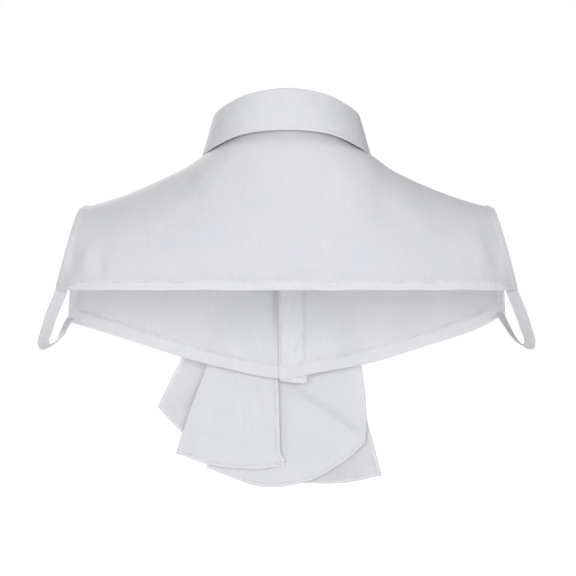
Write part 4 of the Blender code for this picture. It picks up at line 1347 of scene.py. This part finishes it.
def boredDisc(name):
    # a turned disc with four holes cut through it
    steps = buttons["steps"]
    angles = np.arange(steps) * 2.0 * math.pi / steps
    profile = np.array(buttons["profile"]) * (buttons["radius"], buttons["thick"])
    points = [(0.0, 0.0, profile[0][1])]
    for out, height in profile[1:-1]:
        points += [(out * math.cos(a), out * math.sin(a), height) for a in angles]
    points.append((0.0, 0.0, profile[-1][1]))
    top = 1 + (len(profile) - 3) * steps
    faces = []
    for i in range(steps):
        j = (i + 1) % steps
        faces.append((0, 1 + j, 1 + i))
        faces += [(low + i, low + j, low + steps + j, low + steps + i) for low in range(1, top, steps)]
        faces.append((top + i, top + j, len(points) - 1))
    disc = addMesh(name, points, faces, materials["resin"])
    spread = buttons["holeSpread"] * mm
    size = {"vertices": 20, "radius": buttons["holeRadius"] * mm, "depth": 8.0 * mm}
    for x, y in ((-spread, -spread), (-spread, spread), (spread, -spread), (spread, spread)):
        bpy.ops.mesh.primitive_cylinder_add(location=(x, y, 0.0), **size)
        drill = bpy.context.object
        bore = disc.modifiers.new("bore", "BOOLEAN")
        bore.operation = "DIFFERENCE"
        bore.object = drill
        bpy.context.view_layer.update()
        evaluated = disc.evaluated_get(bpy.context.evaluated_depsgraph_get())
        bored = bpy.data.meshes.new_from_object(evaluated)
        disc.modifiers.clear()
        disc.data = bored
        bpy.data.objects.remove(drill, do_unlink=True)
    disc.data.shade_smooth()
    disc.data.set_sharp_from_angle(angle=math.radians(40.0))
    disc.data.materials.clear()
    disc.data.materials.append(materials["resin"])
    return disc


def crossedThread(name, rise):
    # thread over the bridge between holes that face each other across the middle
    spread, radius, slant = buttons["holeSpread"], buttons["threadRadius"], math.sqrt(0.5)
    top, sink, over = buttons["threadRise"]
    points, faces = [], []
    sides, rings = 8, 9
    for way in (1.0, -1.0):
        for offset in (-buttons["threadStep"], 0.0, buttons["threadStep"]):
            faces += tubeFaces(len(points), rings, sides)
            for t in np.linspace(-1.0, 1.0, rings):
                z = rise + top - sink * t**6 + (over if way > 0 else 0.0)
                for a in np.arange(sides) * 2.0 * math.pi / sides:
                    out = (offset + radius * math.cos(a)) * slant
                    points.append((t * spread - way * out, t * spread * way + out, z + radius * math.sin(a)))
    return addMesh(name, points, faces, materials["thread"])


def placeSewn(obj, place, normal, turn, node=None):
    obj.rotation_euler = (turn - math.atan2(normal[2], -normal[1]), 0.0, 0.0)
    obj.location = tuple(np.array(place) * mm)
    dress(obj, node)


def standSurface(x, z, out):
    low, top, away = standEdges(180.0 + math.degrees(math.asin(-x / stand["ring"][0])))[:3]
    lowZ, topZ = standEdges(180.0)[3:]
    atX, atY = low + (top - low) * (z - lowZ) / (topZ - lowZ) + away * (stand["lap"] + out)
    return np.array((atX, atY, z)), np.array((0.0, -1.0, (top[1] - low[1]) / (topZ - lowZ)))


def sewButtonhole(name, surface, height, out, upright):
    # close satin stitches across both lips of the slit
    rows = []
    for way in (-1.0, 1.0):
        for at in np.arange(-buttons["slit"] / 2.0, buttons["slit"] / 2.0, buttons["satinPitch"]):
            ends = [(way * reach, at) if upright else (at, way * reach) for reach in buttons["satinReach"]]
            places = (surface(buttons["x"] + right, height + up, out) for right, up in ends)
            rows.append([np.array(side) for side in zip(*places)])
    sewRows(name, rows, **satinStitch)


def makeButton(name, node, place, normal):
    placeSewn(boredDisc(name), place, normal, math.pi / 2.0, node)
    placeSewn(crossedThread(name + "Thread", buttons["thick"] * 0.7), place, normal, math.pi / 2.0)


def makeButtons():
    x = buttons["x"]
    for number, height in enumerate(buttons["heights"], start=1):
        place = frontSurface(x, height, buttons["off"])
        makeButton(f"placketButton{number}", f"button_placket_{number}", *place)
        inward = -buttons["innerOff"] - gapeDistance(-x, height)
        thread = crossedThread(f"innerThread{number}", 0.0)
        placeSewn(thread, *frontSurface(x, height, inward), math.pi * 1.5)
        sewButtonhole(f"placketButtonhole{number}", frontSurface, height, buttons["holeOff"], True)
    height = buttons["standHeight"]
    makeButton("standButton", "button_stand", *standSurface(x, height, buttons["standOff"]))
    sewButtonhole("standButtonhole", standSurface, height, buttons["standHoleOff"], False)


makeButtons()
print("buttons")
